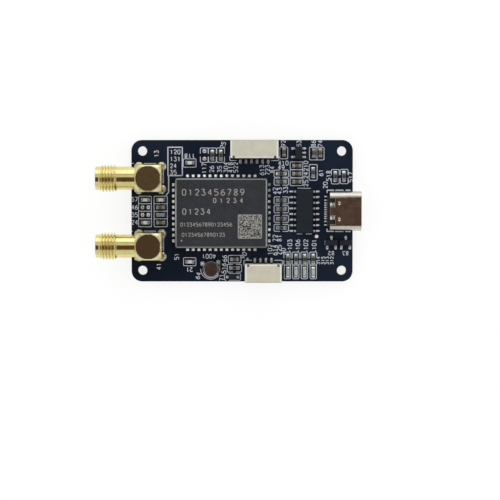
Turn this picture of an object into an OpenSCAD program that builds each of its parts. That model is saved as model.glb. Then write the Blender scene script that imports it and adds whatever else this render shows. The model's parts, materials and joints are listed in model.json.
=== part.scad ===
// Satellite positioning receiver board with two right-angle coax jacks.
// +X points to the USB socket, +Y to the six-way header, +Z up from the board.
// The origin is the centre of the four mounting holes, on the board's underside.

/* [Circuit board] */
// Length of the board, jack edge to socket edge
board_l = 50; // [50:0.5:52]
// Width of the board
board_w = 32; // [32:0.5:34]
// Thickness of the board
board_t = 1.6; // [1.2:0.1:2]
// Radius of the board corners
board_r = 2.4; // [1:0.1:3]
// Spacing of the mounting holes along the board
hole_pitch_x = 45; // [44:0.5:46]
// Spacing of the mounting holes across the board
hole_pitch_y = 27; // [26:0.5:28]
// Diameter of the mounting holes
hole_d = 2.1; // [1.8:0.1:2.4]

/* [Solder] */
// Thickness of a land with the solder on it
land_t = 0.1; // [0.06:0.02:0.14]
// Height of the solder fillet at the end of a chip part
fillet_h = 0.35; // [0.2:0.05:0.45]

/* [Antenna jacks] */
// Centre of the jack blocks, towards the left edge
jack_x = -20.9; // [-21.1:0.05:-20.6]
// Place of the upper jack across the board
jack_1_y = 7.4; // [7.2:0.05:7.8]
// Place of the lower jack across the board
jack_2_y = -7.8; // [-8:0.05:-7.5]
// Side of the square block
block_w = 6.05; // [5.8:0.05:6.4]
// Height of the block
block_h = 5.9; // [5.6:0.1:6.6]
// Gap under the block
block_lift = 0.5; // [0.3:0.1:0.8]
// Height of the barrel's axis above the board
jack_axis_h = 3.3; // [3.2:0.05:3.5]
// Reach of the barrel from the block's centre
jack_reach = 11.85; // [11.6:0.05:13]
// Outer diameter of the coupling thread
thread_d = 6.2; // [6:0.05:6.35]
// Length of the coupling thread
thread_l = 3.4; // [3.2:0.1:4.6]
// Diameter of the plain barrel and of the nose
barrel_d = 5.25; // [5.1:0.05:5.5]
// Length of the nose in front of the thread
nose_l = 1.4; // [0.8:0.1:1.6]
// Diameter of the jack's mouth
mouth_d = 4.6; // [4.5:0.05:4.7]
// Depth of the mouth down to the insulator
mouth_l = 1.9; // [1.7:0.1:2]
// Spacing of the four posts
post_pitch = 5.08; // [4.9:0.02:5.2]
// Diameter of the four posts
post_d = 1.2; // [1:0.1:1.3]
// Length of the posts below the board
post_out = 1.1; // [0.8:0.1:1.6]

/* [Positioning module] */
// Centre of the module along the board
module_x = -4.7; // [-5:0.1:-4.6]
// Centre of the module across the board
module_y = -0.45; // [-0.6:0.05:-0.2]
// Length of the castellated carrier
carrier_l = 21; // [20.8:0.1:21.2]
// Width of the castellated carrier
carrier_w = 16; // [15.8:0.1:16.2]
// Thickness of the carrier
carrier_t = 0.8; // [0.6:0.1:1]
// Pitch of the castellated pads
pad_pitch = 1.27; // [1.25:0.01:1.28]
// Pads on each long side
pads_long = 13; // [9:2:13]
// Pads on each short side
pads_short = 11; // [7:2:11]
// Height of the shield can
can_h = 1.75; // [1.5:0.05:2.2]
// Sheet thickness of the shield can
can_t = 0.2; // [0.12:0.02:0.24]

/* [Headers] */
// Pitch of the header contacts
header_pitch = 1.25; // [1.2:0.05:1.3]
// Contacts in the header on the upper edge
upper_ways = 6; // [4:1:7]
// Contacts in the header on the lower edge
lower_ways = 4; // [3:1:5]
// Centre of the upper header
upper_x = 2.75; // [2.5:0.05:3]
// Centre of the lower header
lower_x = 4.75; // [4.5:0.05:5]
// Height of the header housings
header_h = 4.25; // [4:0.05:4.4]
// Depth of the header housings
header_d = 4.1; // [4:0.05:4.3]

/* [USB socket] */
// Width of the shell
usb_w = 8.94; // [8.9:0.02:9]
// Height of the shell
usb_h = 3.2; // [3.16:0.02:3.26]
// Sheet thickness of the shell
usb_t = 0.3; // [0.25:0.01:0.32]
// Back edge of the shell
usb_back = 19.7; // [19.6:0.05:19.9]
// Mouth of the shell, past the board's edge
usb_front = 26.8; // [26.6:0.1:27.2]

/* [Chips] */
// Centre of the 16-lead chip along the board
bridge_x = 14.1; // [14:0.05:14.2]
// Centre of the 16-lead chip across the board
bridge_y = -0.1; // [-0.2:0.05:0]
// Centre of the regulator along the board
regulator_x = 12.75; // [12.7:0.05:12.8]
// Centre of the regulator across the board
regulator_y = 13.1; // [13:0.05:13.2]
// Length of a chip part
chip_l = 1.6; // [1.5:0.05:1.7]
// Width of a chip part
chip_w = 0.8; // [0.7:0.05:0.9]

/* [Backup cell] */
// Centre of the cell along the board
cell_x = -7; // [-7.1:0.05:-6.8]
// Centre of the cell across the board
cell_y = -13.25; // [-13.4:0.05:-13.05]
// Diameter of the cell
cell_d = 3.8; // [3.7:0.1:4]
// Height of the cell
cell_h = 1.2; // [1:0.1:1.4]

/* [Hidden] */
$fn = 48;

// A hair of overrun for cuts
cut = 0.1;
top = board_t;
seat = board_t + land_t;

// Places of the chip parts: along the board, across it, and the turn
brown_capacitor_places = [[9.45, 13.25, 90], [16.2, 13.05, 90], [17.65, 13.05, 90],
    [12.35, 10.2, 0], [12.35, 8.4, 0], [12.35, 6.6, 0], [-1.7, -10.95, 0],
    [-18.4, 0.8, 0], [-18.4, -2.65, 0]];
pale_capacitor_places = [[-11.8, 10.85, 0], [-11.8, -11.5, 0],
    [-21.85, 2.5, 0], [-21.85, -2.65, 0], [-18.4, 2.5, 0]];
inductor_places = [[-18.4, -0.9, 0]];
supply_resistor_places = [[-6.7, 12.55, 90], [-4.8, 12.55, 90], [-1.7, -12.95, 0]];
module_resistor_places = [[8.85, 8.4, 0], [8.85, 6.6, 0], [8.85, 2.35, 0],
    [8.85, 0.35, 0], [8.85, -1.8, 0], [8.85, -3.85, 0]];
usb_resistor_places = [[21.05, 7.75, 90], [23, 7.8, 90]];
lamp_columns = [10.35, 12.2, 14.15, 16.1];
lamp_resistor_places = [for (x = lamp_columns) [x, -10.95, 90]];
lamp_places = [for (x = lamp_columns) [x, -13.9, 90]];
fuse_places = [[16.05, 8.65, 90]];
surge_diode_places = [[20.2, -7.2], [23.4, -7.2]];
rectifier_place = [-2.15, -15];
// Places left empty, with half the spacing of their lands as the last value
empty_places = [[-21.85, 0.8, 0, 0.66], [-21.85, -0.9, 0, 0.66], [-8.5, 12.6, 90, 0.85]];
capacitor_places = concat(brown_capacitor_places, pale_capacitor_places);
resistor_places = concat(supply_resistor_places, module_resistor_places,
    usb_resistor_places, lamp_resistor_places);
short_land_places = concat(capacitor_places, inductor_places);
long_land_places = concat(resistor_places, lamp_places, fuse_places);

// Outlines and small helpers

// A rectangle with round corners
module rounded_outline(l, w, r) {
    square([l - 2 * r, w], center = true);
    square([l, w - 2 * r], center = true);
    for (sx = [-1, 1], sy = [-1, 1])
        translate([sx * (l / 2 - r), sy * (w / 2 - r)]) circle(r = r);
}

// A rectangle standing on the X axis with its two upper corners round
module arched_outline(l, h, r) {
    translate([-l / 2, 0]) square([l, h - r]);
    translate([r - l / 2, 0]) square([l - 2 * r, h]);
    for (s = [-1, 1]) translate([s * (l / 2 - r), h - r]) circle(r = r);
}

// A box centred in X and Y that stands on Z = 0
module standing_box(l, w, h) {
    translate([-l / 2, -w / 2, 0]) cube([l, w, h]);
}

// A profile drawn in Y and Z, given its width along X
module across(w) {
    translate([-w / 2, 0, 0]) rotate([90, 0, 90]) linear_extrude(w) children();
}

// A profile drawn in X and Z, given its width along Y
module along(w) {
    translate([0, w / 2, 0]) rotate([90, 0, 0]) linear_extrude(w) children();
}

// Puts its children at every place of a list, standing on the lands
module at_places(places) {
    for (p = places) translate([p[0], p[1], seat]) rotate(p[2]) children();
}

// A sheet box with round plan corners and a round upper edge
module drawn_box(l, w, h, plan_r, edge_r) {
    intersection() {
        linear_extrude(h) rounded_outline(l, w, plan_r);
        along(w + cut) arched_outline(l, h, edge_r);
        across(l + cut) arched_outline(w, h, edge_r);
    }
}

// Circuit board

usb_leg_x = [20.6, 23.6];
usb_leg_l = [1.1, 1.5];
usb_leg_y = usb_w / 2 - usb_t / 2;
peg_x = 20.9;
peg_y = 2.9;
peg_d = 0.6;
jack_ys = [jack_1_y, jack_2_y];

module at_posts() {
    for (sx = [-1, 1], sy = [-1, 1])
        translate([sx * post_pitch / 2, sy * post_pitch / 2, 0]) children();
}

module at_jack(n) {
    translate([jack_x, jack_ys[n - 1], 0]) children();
}

tail_d = 0.9;

module circuit_board() {
    color("#1b2537")
    difference() {
        linear_extrude(board_t) rounded_outline(board_l, board_w, board_r);
        for (sx = [-1, 1], sy = [-1, 1])
            translate([sx * hole_pitch_x / 2, sy * hole_pitch_y / 2, -cut])
                cylinder(d = hole_d, h = board_t + 2 * cut);
        for (n = [1, 2]) at_jack(n) translate([0, 0, -cut]) {
            at_posts() cylinder(d = post_d, h = board_t + 2 * cut);
            cylinder(d = tail_d, h = board_t + 2 * cut);
        }
        for (sy = [-1, 1]) {
            translate([peg_x, sy * peg_y, -cut]) cylinder(d = peg_d, h = board_t + 2 * cut);
            for (i = [0, 1])
                translate([usb_leg_x[i], sy * usb_leg_y, -cut])
                    standing_box(usb_leg_l[i], usb_t, board_t + 2 * cut);
        }
    }
}

// Solder on the lands

land_w = 0.85;
// Inner and outer end of a chip part's land, from the part's middle
short_land = [0.3, 1];
long_land = [0.4, 1.2];
bridge_pitch = 1.27;
bridge_rows = [for (i = [0:7]) bridge_y + (i - 3.5) * bridge_pitch];
bridge_foot = 2.85;
usb_tail_x = 18.9;
usb_tail_rows = [-3.2, -2.4, -1.75, -1.25, -0.75, -0.25, 0.25, 0.75, 1.25, 1.75, 2.4, 3.2];
header_tail_y = 4.8;

// A flat land with its solder film
module land(l, w) {
    standing_box(l, w, land_t);
}

// A wedge of solder that leans on a wall at X = 0 and runs out along +X
module wedge(run, rise, w) {
    along(w) polygon([[0, 0], [run, 0], [0, rise]]);
}

// Both lands under each chip part, with the fillets up its metal ends
module chip_lands(places, ends) {
    for (p = places, turn = [0, 180]) translate([p[0], p[1], seat]) rotate(p[2] + turn) {
        translate([(ends[0] + ends[1]) / 2, 0, -land_t]) land(ends[1] - ends[0], land_w);
        translate([chip_l / 2, 0, 0]) wedge(ends[1] - chip_l / 2, fillet_h, chip_w - 0.1);
    }
}

// Solder cone round a post, r1 on the board and r2 at its tip
module post_cone(r1, r2, h, bore_r) {
    difference() {
        cylinder(r1 = r1, r2 = r2, h = h);
        translate([0, 0, -cut]) cylinder(r = bore_r, h = h + 2 * cut);
    }
}

module module_lands() {
    pad_l = 1.5;
    pad_w = 0.75;
    outside = 0.65;
    for (s = [-1, 1]) {
        for (i = [0:pads_long - 1])
            translate([module_x + (i - (pads_long - 1) / 2) * pad_pitch,
                module_y + s * carrier_w / 2, top])
            rotate(s * 90) carrier_land(pad_l, pad_w, outside);
        for (i = [0:pads_short - 1])
            translate([module_x + s * carrier_l / 2,
                module_y + (i - (pads_short - 1) / 2) * pad_pitch, top])
            rotate(90 - s * 90) carrier_land(pad_l, pad_w, outside);
    }
}

// A carrier pad's land, +X pointing away from the carrier
module carrier_land(l, w, outside) {
    translate([outside - l / 2, 0, 0]) land(l, w);
    translate([0, 0, land_t]) wedge(outside - 0.1, carrier_t * 0.6, w - 0.15);
}

module header_lands(ways) {
    for (i = [0:ways - 1])
        translate([(i - (ways - 1) / 2) * header_pitch, header_tail_y, 0]) land(0.6, 1);
}

module jack_joints() {
    foot_r = foot_d / 2;
    translate([0, 0, top]) at_posts() post_cone(1.1, foot_r + 0.05, block_lift - 0.1, foot_r);
    mirror([0, 0, 1]) {
        at_posts() post_cone(1.05, 0.66, 0.7, post_d / 2);
        post_cone(0.8, 0.5, 0.6, tail_d / 2);
    }
}

module solder_joints() {
    color("#c9cdd0") {
        chip_lands(short_land_places, short_land);
        chip_lands(long_land_places, long_land);
        for (p = empty_places, s = [-1, 1]) translate([p[0], p[1], top]) rotate(p[2])
            translate([s * p[3], 0, 0]) land(0.75, land_w);
        module_lands();
        for (y = bridge_rows, s = [-1, 1])
            translate([bridge_x + s * bridge_foot, y, top]) land(1.2, 0.6);
        for (y = usb_tail_rows) translate([usb_tail_x, y, top]) land(0.7, 0.32);
        for (s = [-1, 1], y = (s < 0 ? [-0.95, 0.95] : [-0.95, 0, 0.95]))
            translate([regulator_x + s * 1.3, regulator_y + y, top]) land(0.8, 0.5);
        for (p = surge_diode_places) {
            translate([p[0], p[1] + 1.15, top]) land(0.6, 0.8);
            for (s = [-1, 1]) translate([p[0] + s * 0.95, p[1] - 1.15, top]) land(0.6, 0.8);
        }
        for (s = [-1, 1])
            translate([rectifier_place[0] + s * 1.25, rectifier_place[1], top]) land(0.6, 0.6);
        translate([upper_x, board_w / 2, top]) rotate(180) header_lands(upper_ways);
        translate([lower_x, -board_w / 2, top]) header_lands(lower_ways);
        for (p = cell_feet) translate([p[0], p[1], top]) land(cell_foot, cell_foot);
        for (n = [1, 2]) at_jack(n) jack_joints();
    }
}

// Antenna jacks

foot_d = 1.3;
tail_out = post_out - 0.2;
axis_z = top + jack_axis_h;
block_z = top + block_lift;
bore_d = 4.1;
spigot_d = 4.8;
spigot_l = 0.9;
flange_d = 5.4;
flange_w = 5.05;
flange_t = 0.35;
crown_drop = 0.65;
corner_r = 4.2;
contact_d = 1.27;
inner_bore_d = 3;
spigot_end = jack_reach - block_w / 2 + spigot_l;

// Turns a profile of radius and distance from the mouth about the barrel's axis
module turned() {
    translate([-jack_reach, 0, axis_z]) rotate([0, 90, 0]) rotate_extrude() children();
}

// The cap's flange, round with four flats, and its pocket in the block
module cap_flange(t) {
    intersection() {
        cylinder(d = flange_d, h = t);
        standing_box(flange_w, flange_w, t);
    }
}

module jack_body() {
    difference() {
        union() {
            translate([0, 0, block_z]) intersection() {
                linear_extrude(block_h) rounded_outline(block_w, block_w, 0.25);
                rotate_extrude() polygon([[0, 0], [corner_r, 0], [corner_r, block_h - crown_drop],
                    [flange_d / 2 + 0.1, block_h], [0, block_h]]);
            }
            at_posts() {
                translate([0, 0, top]) cylinder(d = foot_d, h = block_lift);
                translate([0, 0, -post_out]) cylinder(d = post_d, h = top + post_out);
            }
        }
        translate([0, 0, block_z - cut]) cylinder(d = bore_d, h = block_h + 2 * cut);
        translate([0, 0, block_z + block_h - flange_t]) cap_flange(flange_t + cut);
        translate([-block_w / 2 - cut, 0, axis_z]) rotate([0, 90, 0]) {
            cylinder(d = spigot_d, h = spigot_l + cut);
            cylinder(d = inner_bore_d, h = block_w / 2);
        }
    }
}

// The barrel's section, from the mouth back to the end of its spigot
module jack_barrel() {
    thread_end = nose_l + thread_l;
    bevel = 0.25;
    turned() polygon([[mouth_d / 2, 0.1], [mouth_d / 2 + 0.1, 0], [barrel_d / 2 - 0.1, 0],
        [barrel_d / 2, 0.1], [barrel_d / 2, nose_l], [thread_d / 2, nose_l + bevel],
        [thread_d / 2, thread_end - bevel], [barrel_d / 2, thread_end],
        [barrel_d / 2, spigot_end - spigot_l], [spigot_d / 2, spigot_end - spigot_l],
        [spigot_d / 2, spigot_end], [bore_d / 2, spigot_end], [bore_d / 2, mouth_l],
        [mouth_d / 2, mouth_l]]);
}

module jack_cap() {
    translate([0, 0, block_z + block_h - flange_t]) {
        cap_flange(flange_t);
        translate([0, 0, -0.45]) cylinder(d = bore_d, h = 0.45);
    }
}

module jack_insulator() {
    turned() polygon([[contact_d / 2, mouth_l], [bore_d / 2, mouth_l],
        [bore_d / 2, spigot_end], [contact_d / 2, spigot_end]]);
    translate([0, 0, block_z]) difference() {
        cylinder(d = bore_d, h = jack_axis_h - block_lift - 1.1);
        translate([0, 0, -cut]) cylinder(d = tail_d, h = jack_axis_h);
    }
}

// Slotted socket contact, turned down at right angles into the board
module jack_contact() {
    socket_l = 2.6;
    difference() {
        union() {
            turned() polygon([[0, mouth_l], [contact_d / 2 - 0.08, mouth_l],
                [contact_d / 2, mouth_l + 0.08], [contact_d / 2, jack_reach + 0.45],
                [0, jack_reach + 0.45]]);
            translate([0, 0, -tail_out]) cylinder(d = tail_d, h = axis_z + tail_out);
        }
        translate([-jack_reach + mouth_l - cut, 0, axis_z]) {
            rotate([0, 90, 0]) cylinder(d = 0.94, h = socket_l + cut);
            for (turn = [0, 90]) rotate([turn, 0, 0])
                translate([0, -0.1, -contact_d]) cube([1.8, 0.2, 2 * contact_d]);
        }
    }
}

module antenna_jack_1_body() { color("#d8bf72") at_jack(1) jack_body(); }
module antenna_jack_2_body() { color("#d8bf72") at_jack(2) jack_body(); }
module antenna_jack_1_barrel() { color("#e0c878") at_jack(1) jack_barrel(); }
module antenna_jack_2_barrel() { color("#e0c878") at_jack(2) jack_barrel(); }
module antenna_jack_1_cap() { color("#8a7444") at_jack(1) jack_cap(); }
module antenna_jack_2_cap() { color("#8a7444") at_jack(2) jack_cap(); }
module antenna_jack_1_insulator() { color("#f0efe8") at_jack(1) jack_insulator(); }
module antenna_jack_2_insulator() { color("#f0efe8") at_jack(2) jack_insulator(); }
module antenna_jack_1_contact() { color("#e6cd7a") at_jack(1) jack_contact(); }
module antenna_jack_2_contact() { color("#e6cd7a") at_jack(2) jack_contact(); }

// Positioning module

carrier_top = seat + carrier_t;
castellation_d = 0.55;
can_l = carrier_l - 0.3;
can_w = carrier_w - 0.35;

module at_module(z) {
    translate([module_x, module_y, z]) children();
}

module module_carrier() {
    color("#20352c")
    at_module(seat) difference() {
        standing_box(carrier_l, carrier_w, carrier_t);
        for (s = [-1, 1]) {
            for (i = [0:pads_long - 1])
                translate([(i - (pads_long - 1) / 2) * pad_pitch, s * carrier_w / 2, -cut])
                    cylinder(d = castellation_d, h = carrier_t + 2 * cut);
            for (i = [0:pads_short - 1])
                translate([s * carrier_l / 2, (i - (pads_short - 1) / 2) * pad_pitch, -cut])
                    cylinder(d = castellation_d, h = carrier_t + 2 * cut);
        }
    }
}

// Drawn lid, open below, with two dimples in its upper rim and two lower vents
module module_shield_can() {
    plan_r = 0.8;
    edge_r = 0.35;
    color("#6c6c6a")
    at_module(carrier_top) difference() {
        drawn_box(can_l, can_w, can_h, plan_r, edge_r);
        translate([0, 0, -cut])
            drawn_box(can_l - 2 * can_t, can_w - 2 * can_t, can_h - can_t + cut,
                plan_r - can_t, edge_r - can_t / 2);
        for (x = [-5.7, 5.9], s = [-1, 1])
            translate([x, s * (can_w / 2 + 0.35), can_h + 0.2]) rotate([0, 90, 0])
                cylinder(r = 0.5, h = 1.2, center = true);
        for (x = [-7, 0, 7]) translate([x, 0, -cut]) standing_box(1.2, can_w + 1, 0.2 + cut);
    }
}

module positioning_processor() {
    color("#26272a") at_module(carrier_top) translate([-1.5, -0.8, 0]) {
        standing_box(7, 7, 0.25);
        translate([0, 0, 0.25]) standing_box(6.7, 6.7, 0.6);
    }
}

module reference_oscillator() {
    color("#b9b9b4") at_module(carrier_top) translate([5.6, 3.8, 0])
        drawn_box(2.5, 2, 0.8, 0.3, 0.15);
}

module antenna_filters() {
    color("#8f8a80") at_module(carrier_top) for (s = [-1, 1])
        translate([-7.6, s * 4.4, 0]) standing_box(1.4, 1.1, 0.5);
}

// Side-entry headers, drawn with the mouth on Y = 0 and the lower side on Z = 0

header_wall = 1;
roof_t = 0.65;
floor_t = 0.75;
cavity_d = 3.1;
contact_z = 1.75;
contact_w = 0.4;
contact_h = 0.5;
anchor_l = 2.2;
anchor_t = 0.25;

function header_w(ways) = (ways - 1) * header_pitch + 4.5;

module at_contacts(ways) {
    for (i = [0:ways - 1]) translate([(i - (ways - 1) / 2) * header_pitch, 0, 0]) children();
}

module header_housing(ways) {
    w = header_w(ways);
    bevel = 0.18;
    notch = 0.5;
    cavity_w = w - 2 * header_wall;
    cavity_h = header_h - roof_t - floor_t;
    difference() {
        across(w) polygon([[0, 0], [header_d, 0], [header_d, header_h - bevel],
            [header_d - bevel, header_h], [bevel, header_h], [0, header_h - bevel]]);
        for (s = [-1, 1]) {
            // Side bevels along the roof
            translate([s * w / 2, header_d / 2, header_h]) rotate([0, 45, 0])
                cube([bevel * sqrt(2), header_d + 1, bevel * sqrt(2)], center = true);
            // Notches beside the rear corners
            translate([s * (w / 2 - 0.75), header_d, header_h - 0.6])
                standing_box(notch, 2 * notch, 1);
            // Keying slots beside the mouth
            translate([s * (cavity_w / 2 - 0.6), 0, floor_t - 0.35])
                standing_box(0.5, 3.2, 0.35 + cut);
            // Pockets for the anchors
            translate([s * (w / 2 - anchor_t / 2), 1.9, -cut])
                standing_box(anchor_t, anchor_l, 2 + cut);
            translate([s * (w / 2 - 0.45), 1.9, -cut])
                standing_box(0.9, anchor_l, anchor_t + cut);
        }
        translate([0, cavity_d / 2, floor_t]) standing_box(cavity_w, cavity_d + cut, cavity_h);
        // Recess for the plug's latch, under the roof
        translate([0, 1, floor_t + cavity_h - cut]) standing_box(cavity_w - 2.4, 2 + cut, 0.3 + cut);
        at_contacts(ways) translate([0, cavity_d + 0.5, contact_z])
            standing_box(contact_w, 1.4, contact_h);
    }
}

// One bent contact: blade, wall, drop and foot
module header_contact() {
    back = header_d + 0.35;
    foot_end = header_d + 1.05;
    across(contact_w) polygon([[1, contact_z + 0.1], [1.15, contact_z], [back - 0.1, contact_z],
        [back - 0.1, land_t], [foot_end, land_t], [foot_end, land_t + 0.3],
        [back + 0.25, land_t + 0.3], [back + 0.25, contact_z + 0.35],
        [back + 0.1, contact_z + contact_h], [1.15, contact_z + contact_h],
        [1, contact_z + contact_h - 0.1]]);
}

module header_anchors(ways) {
    w = header_w(ways);
    for (s = [-1, 1]) {
        translate([s * (w / 2 - anchor_t / 2), 1.9, 0]) standing_box(anchor_t, anchor_l, 2);
        translate([s * (w / 2 - 0.45), 1.9, 0]) standing_box(0.9, anchor_l, anchor_t);
    }
}

module at_upper() { translate([upper_x, board_w / 2, top]) rotate(180) children(); }
module at_lower() { translate([lower_x, -board_w / 2, top]) children(); }

module upper_header_housing() { color("#d8d0b4") at_upper() header_housing(upper_ways); }
module lower_header_housing() { color("#d8d0b4") at_lower() header_housing(lower_ways); }
module upper_header_contacts() {
    color("#c8c8c4") at_upper() at_contacts(upper_ways) header_contact();
}
module lower_header_contacts() {
    color("#c8c8c4") at_lower() at_contacts(lower_ways) header_contact();
}
module upper_header_anchors() { color("#c8c8c4") at_upper() header_anchors(upper_ways); }
module lower_header_anchors() { color("#c8c8c4") at_lower() header_anchors(lower_ways); }

// USB socket, its mouth towards +X

usb_z = top;
usb_l = usb_front - usb_back;
base_l = 1.9;
base_front = usb_back + base_l;
tongue_w = 6.7;
tongue_t = 0.7;
tongue_l = 4.4;
plate_t = 0.16;
usb_mid_z = usb_z + usb_h / 2;
pad_rows = [-2.75, -1.25, -0.75, -0.25, 0.25, 0.75, 1.25, 2.75];

// The oblong section of the shell, centred on its axis
module usb_section(gap) {
    h = usb_h - 2 * gap;
    w = usb_w - 2 * gap;
    square([w - h, h], center = true);
    for (s = [-1, 1]) translate([s * (w - h) / 2, 0]) circle(d = h);
}

// A length of the oblong section, from x0 to x1
module usb_bar(x0, x1, gap) {
    translate([x0, 0, usb_mid_z]) rotate([90, 0, 90]) linear_extrude(x1 - x0) usb_section(gap);
}

window_l = 1.2;
window_w = 1.95;
window_y = 1.95;
tab_w = 0.9;
tab_y = 1.45;
tab_drop = 0.5;
roof_z = usb_z + usb_h;

// Tab folded down out of the roof sheet at the back, its tip turned up a little
module usb_tab() {
    root = usb_back + window_l;
    knee = root - 0.45;
    tip = usb_back + 0.05;
    low = roof_z - usb_t - tab_drop;
    sheet = 0.2;
    lift = 0.12;
    along(tab_w) polygon([[root, roof_z - usb_t], [root - 0.15, low], [knee, low],
        [tip, low + lift], [tip, low + lift + sheet], [knee, low + sheet],
        [root - 0.25, low + sheet], [root - 0.15, roof_z], [root, roof_z]]);
}

// Room cut for a dimple with sloping sides, long across the shell
module usb_dimple() {
    floor_w = 0.2;
    depth = 0.13;
    flare = 3.5;
    half = 0.13;
    h = depth + cut;
    mouth_w = floor_w + flare * h;
    translate([0, 0, -depth]) {
        for (s = [-1, 1]) translate([0, s * half, 0]) cylinder(d1 = floor_w, d2 = mouth_w, h = h);
        along(2 * half) polygon([[-floor_w / 2, 0], [floor_w / 2, 0],
            [mouth_w / 2, h], [-mouth_w / 2, h]]);
    }
}

module usb_shell() {
    dimple_x = 21.8;
    dimple_y = 1.81;
    leg_end = -0.2;
    color("#b7b2aa") {
        difference() {
            usb_bar(usb_back, usb_front, 0);
            usb_bar(usb_back - cut, usb_front + cut, usb_t);
            for (s = [-1, 1]) {
                // Clearance for the locating pegs
                translate([peg_x, s * peg_y, usb_z - cut])
                    cylinder(d = peg_d + 0.1, h = usb_t + 2 * cut);
                // Windows round the two folded tabs
                translate([usb_back + window_l / 2 - cut / 2, s * window_y, usb_mid_z])
                    standing_box(window_l + cut, window_w, usb_h);
                // Retaining dimples
                translate([dimple_x, s * dimple_y, roof_z]) usb_dimple();
                // Flats for the legs
                for (i = [0, 1]) translate([usb_leg_x[i], s * usb_leg_y, usb_z - cut])
                    standing_box(usb_leg_l[i], usb_t, usb_h / 2 + cut);
            }
        }
        for (s = [-1, 1]) {
            // Legs through the board
            for (i = [0, 1]) translate([usb_leg_x[i], s * usb_leg_y, leg_end])
                standing_box(usb_leg_l[i], usb_t, usb_mid_z - leg_end);
            translate([0, s * tab_y, 0]) usb_tab();
        }
    }
}

module usb_insulator() {
    body_h = usb_h / 2 - usb_t;
    comb_l = 0.5;
    pocket_z = roof_z - usb_t - tab_drop;
    color("#2b2b2d") difference() {
        union() {
            usb_bar(usb_back, base_front, usb_t);
            translate([base_front + tongue_l / 2, 0, usb_mid_z - tongue_t / 2])
                standing_box(tongue_l, tongue_w, tongue_t);
            // Comb over the tails
            translate([usb_back - comb_l / 2, 0, usb_mid_z - body_h])
                standing_box(comb_l, 7, body_h - 0.2);
            for (s = [-1, 1]) translate([peg_x, s * peg_y, 0.6])
                cylinder(d = peg_d, h = usb_mid_z - 0.8);
        }
        usb_plate_space();
        // Pockets under the folded tabs
        for (s = [-1, 1]) translate([usb_back + window_l / 2 - cut / 2, s * window_y, pocket_z])
            standing_box(window_l + cut, window_w, usb_h);
        for (y = usb_tail_rows) translate([usb_back + 0.3, y, usb_tail_z])
            standing_box(2, 0.24, 0.16);
    }
}

usb_tail_z = usb_z + 0.55;

// The room that the mid plate fills in the tongue
module usb_plate_space() {
    translate([base_front + tongue_l / 2 - 0.6, 0, usb_mid_z - plate_t / 2])
        standing_box(tongue_l - 0.4, tongue_w + cut, plate_t);
}

// Pad strips on both faces of the tongue, and the tails behind the base
module usb_contacts() {
    strip_l = 3.4;
    color("#d8bf72") {
        for (y = pad_rows) {
            translate([base_front + strip_l / 2, y, usb_mid_z + tongue_t / 2])
                standing_box(strip_l, 0.25, 0.05);
            translate([base_front + strip_l / 2, y, usb_mid_z - tongue_t / 2 - 0.05])
                standing_box(strip_l, 0.25, 0.05);
        }
        for (y = usb_tail_rows) translate([0, y, 0]) along(0.24)
            polygon([[usb_tail_x - 0.3, seat], [usb_tail_x + 0.1, seat],
                [usb_tail_x + 0.3, usb_tail_z], [usb_back + 1.3, usb_tail_z],
                [usb_back + 1.3, usb_tail_z + 0.16], [usb_tail_x + 0.2, usb_tail_z + 0.16],
                [usb_tail_x, seat + 0.16], [usb_tail_x - 0.3, seat + 0.16]]);
    }
}

module usb_mid_plate() {
    color("#a9a9a6") difference() {
        translate([base_front + tongue_l / 2 - 0.6, 0, usb_mid_z - plate_t / 2])
            standing_box(tongue_l - 0.4, tongue_w, plate_t);
        for (s = [-1, 1])
            translate([base_front + 1.8, s * (tongue_w / 2), usb_mid_z - plate_t])
                cylinder(d = 0.6, h = 1);
    }
}

// Moulded chips and their leads

// A moulded body with drafted sides, l along Y and w along X, lifted off the board
module moulded_body(l, w, h, lift, draft) {
    mid = lift + (h - lift) * 0.5;
    intersection() {
        along(l) polygon([[draft - w / 2, lift], [w / 2 - draft, lift], [w / 2, mid],
            [w / 2 - draft, h], [draft - w / 2, h], [-w / 2, mid]]);
        across(w) polygon([[draft - l / 2, lift], [l / 2 - draft, lift], [l / 2, mid],
            [l / 2 - draft, h], [draft - l / 2, h], [-l / 2, mid]]);
    }
}

// A gull-wing lead that leaves a wall at X = 0 and ends in a foot on Z = 0
module gull_lead(reach, rise, foot, w, t) {
    along(w) polygon([[0, rise - t / 2], [0.2, rise - t / 2], [reach - foot, 0], [reach, 0],
        [reach, t], [reach - foot + 0.1, t], [0.35, rise + t / 2], [0, rise + t / 2]]);
}

bridge_l = 9.9;
bridge_w = 3.9;
bridge_h = 1.45;
bridge_lift = 0.1;
bridge_rise = bridge_lift + (bridge_h - bridge_lift) / 2;

module serial_bridge_chip() {
    color("#232a33") translate([bridge_x, bridge_y, seat]) difference() {
        moulded_body(bridge_l, bridge_w, bridge_h, bridge_lift, 0.2);
        translate([0, -bridge_l / 2, bridge_h - 0.2]) cylinder(d = 0.9, h = 1);
        translate([1.2, 1 - bridge_l / 2, bridge_h - 0.08]) cylinder(d = 0.7, h = 1);
    }
}

module serial_bridge_leads() {
    color("#d0d2d2") for (y = bridge_rows, turn = [0, 180])
        translate([bridge_x, y, seat]) rotate(turn) translate([bridge_w / 2, 0, 0])
            gull_lead(1.05, bridge_rise, 0.5, 0.42, 0.2);
}

regulator_w = 1.6;
regulator_h = 1.1;

module regulator_chip() {
    color("#1c1e22") translate([regulator_x, regulator_y, seat])
        moulded_body(2.9, regulator_w, regulator_h, 0.08, 0.08);
}

module regulator_leads() {
    rise = 0.59;
    color("#d0d2d2") translate([regulator_x, regulator_y, seat]) {
        for (y = [-0.95, 0, 0.95]) translate([regulator_w / 2, y, 0])
            gull_lead(0.65, rise, 0.3, 0.4, 0.15);
        for (y = [-0.95, 0.95]) rotate(180) translate([regulator_w / 2, y, 0])
            gull_lead(0.65, rise, 0.3, 0.4, 0.15);
    }
}

surge_h = 1;
surge_w = 1.3;

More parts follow.
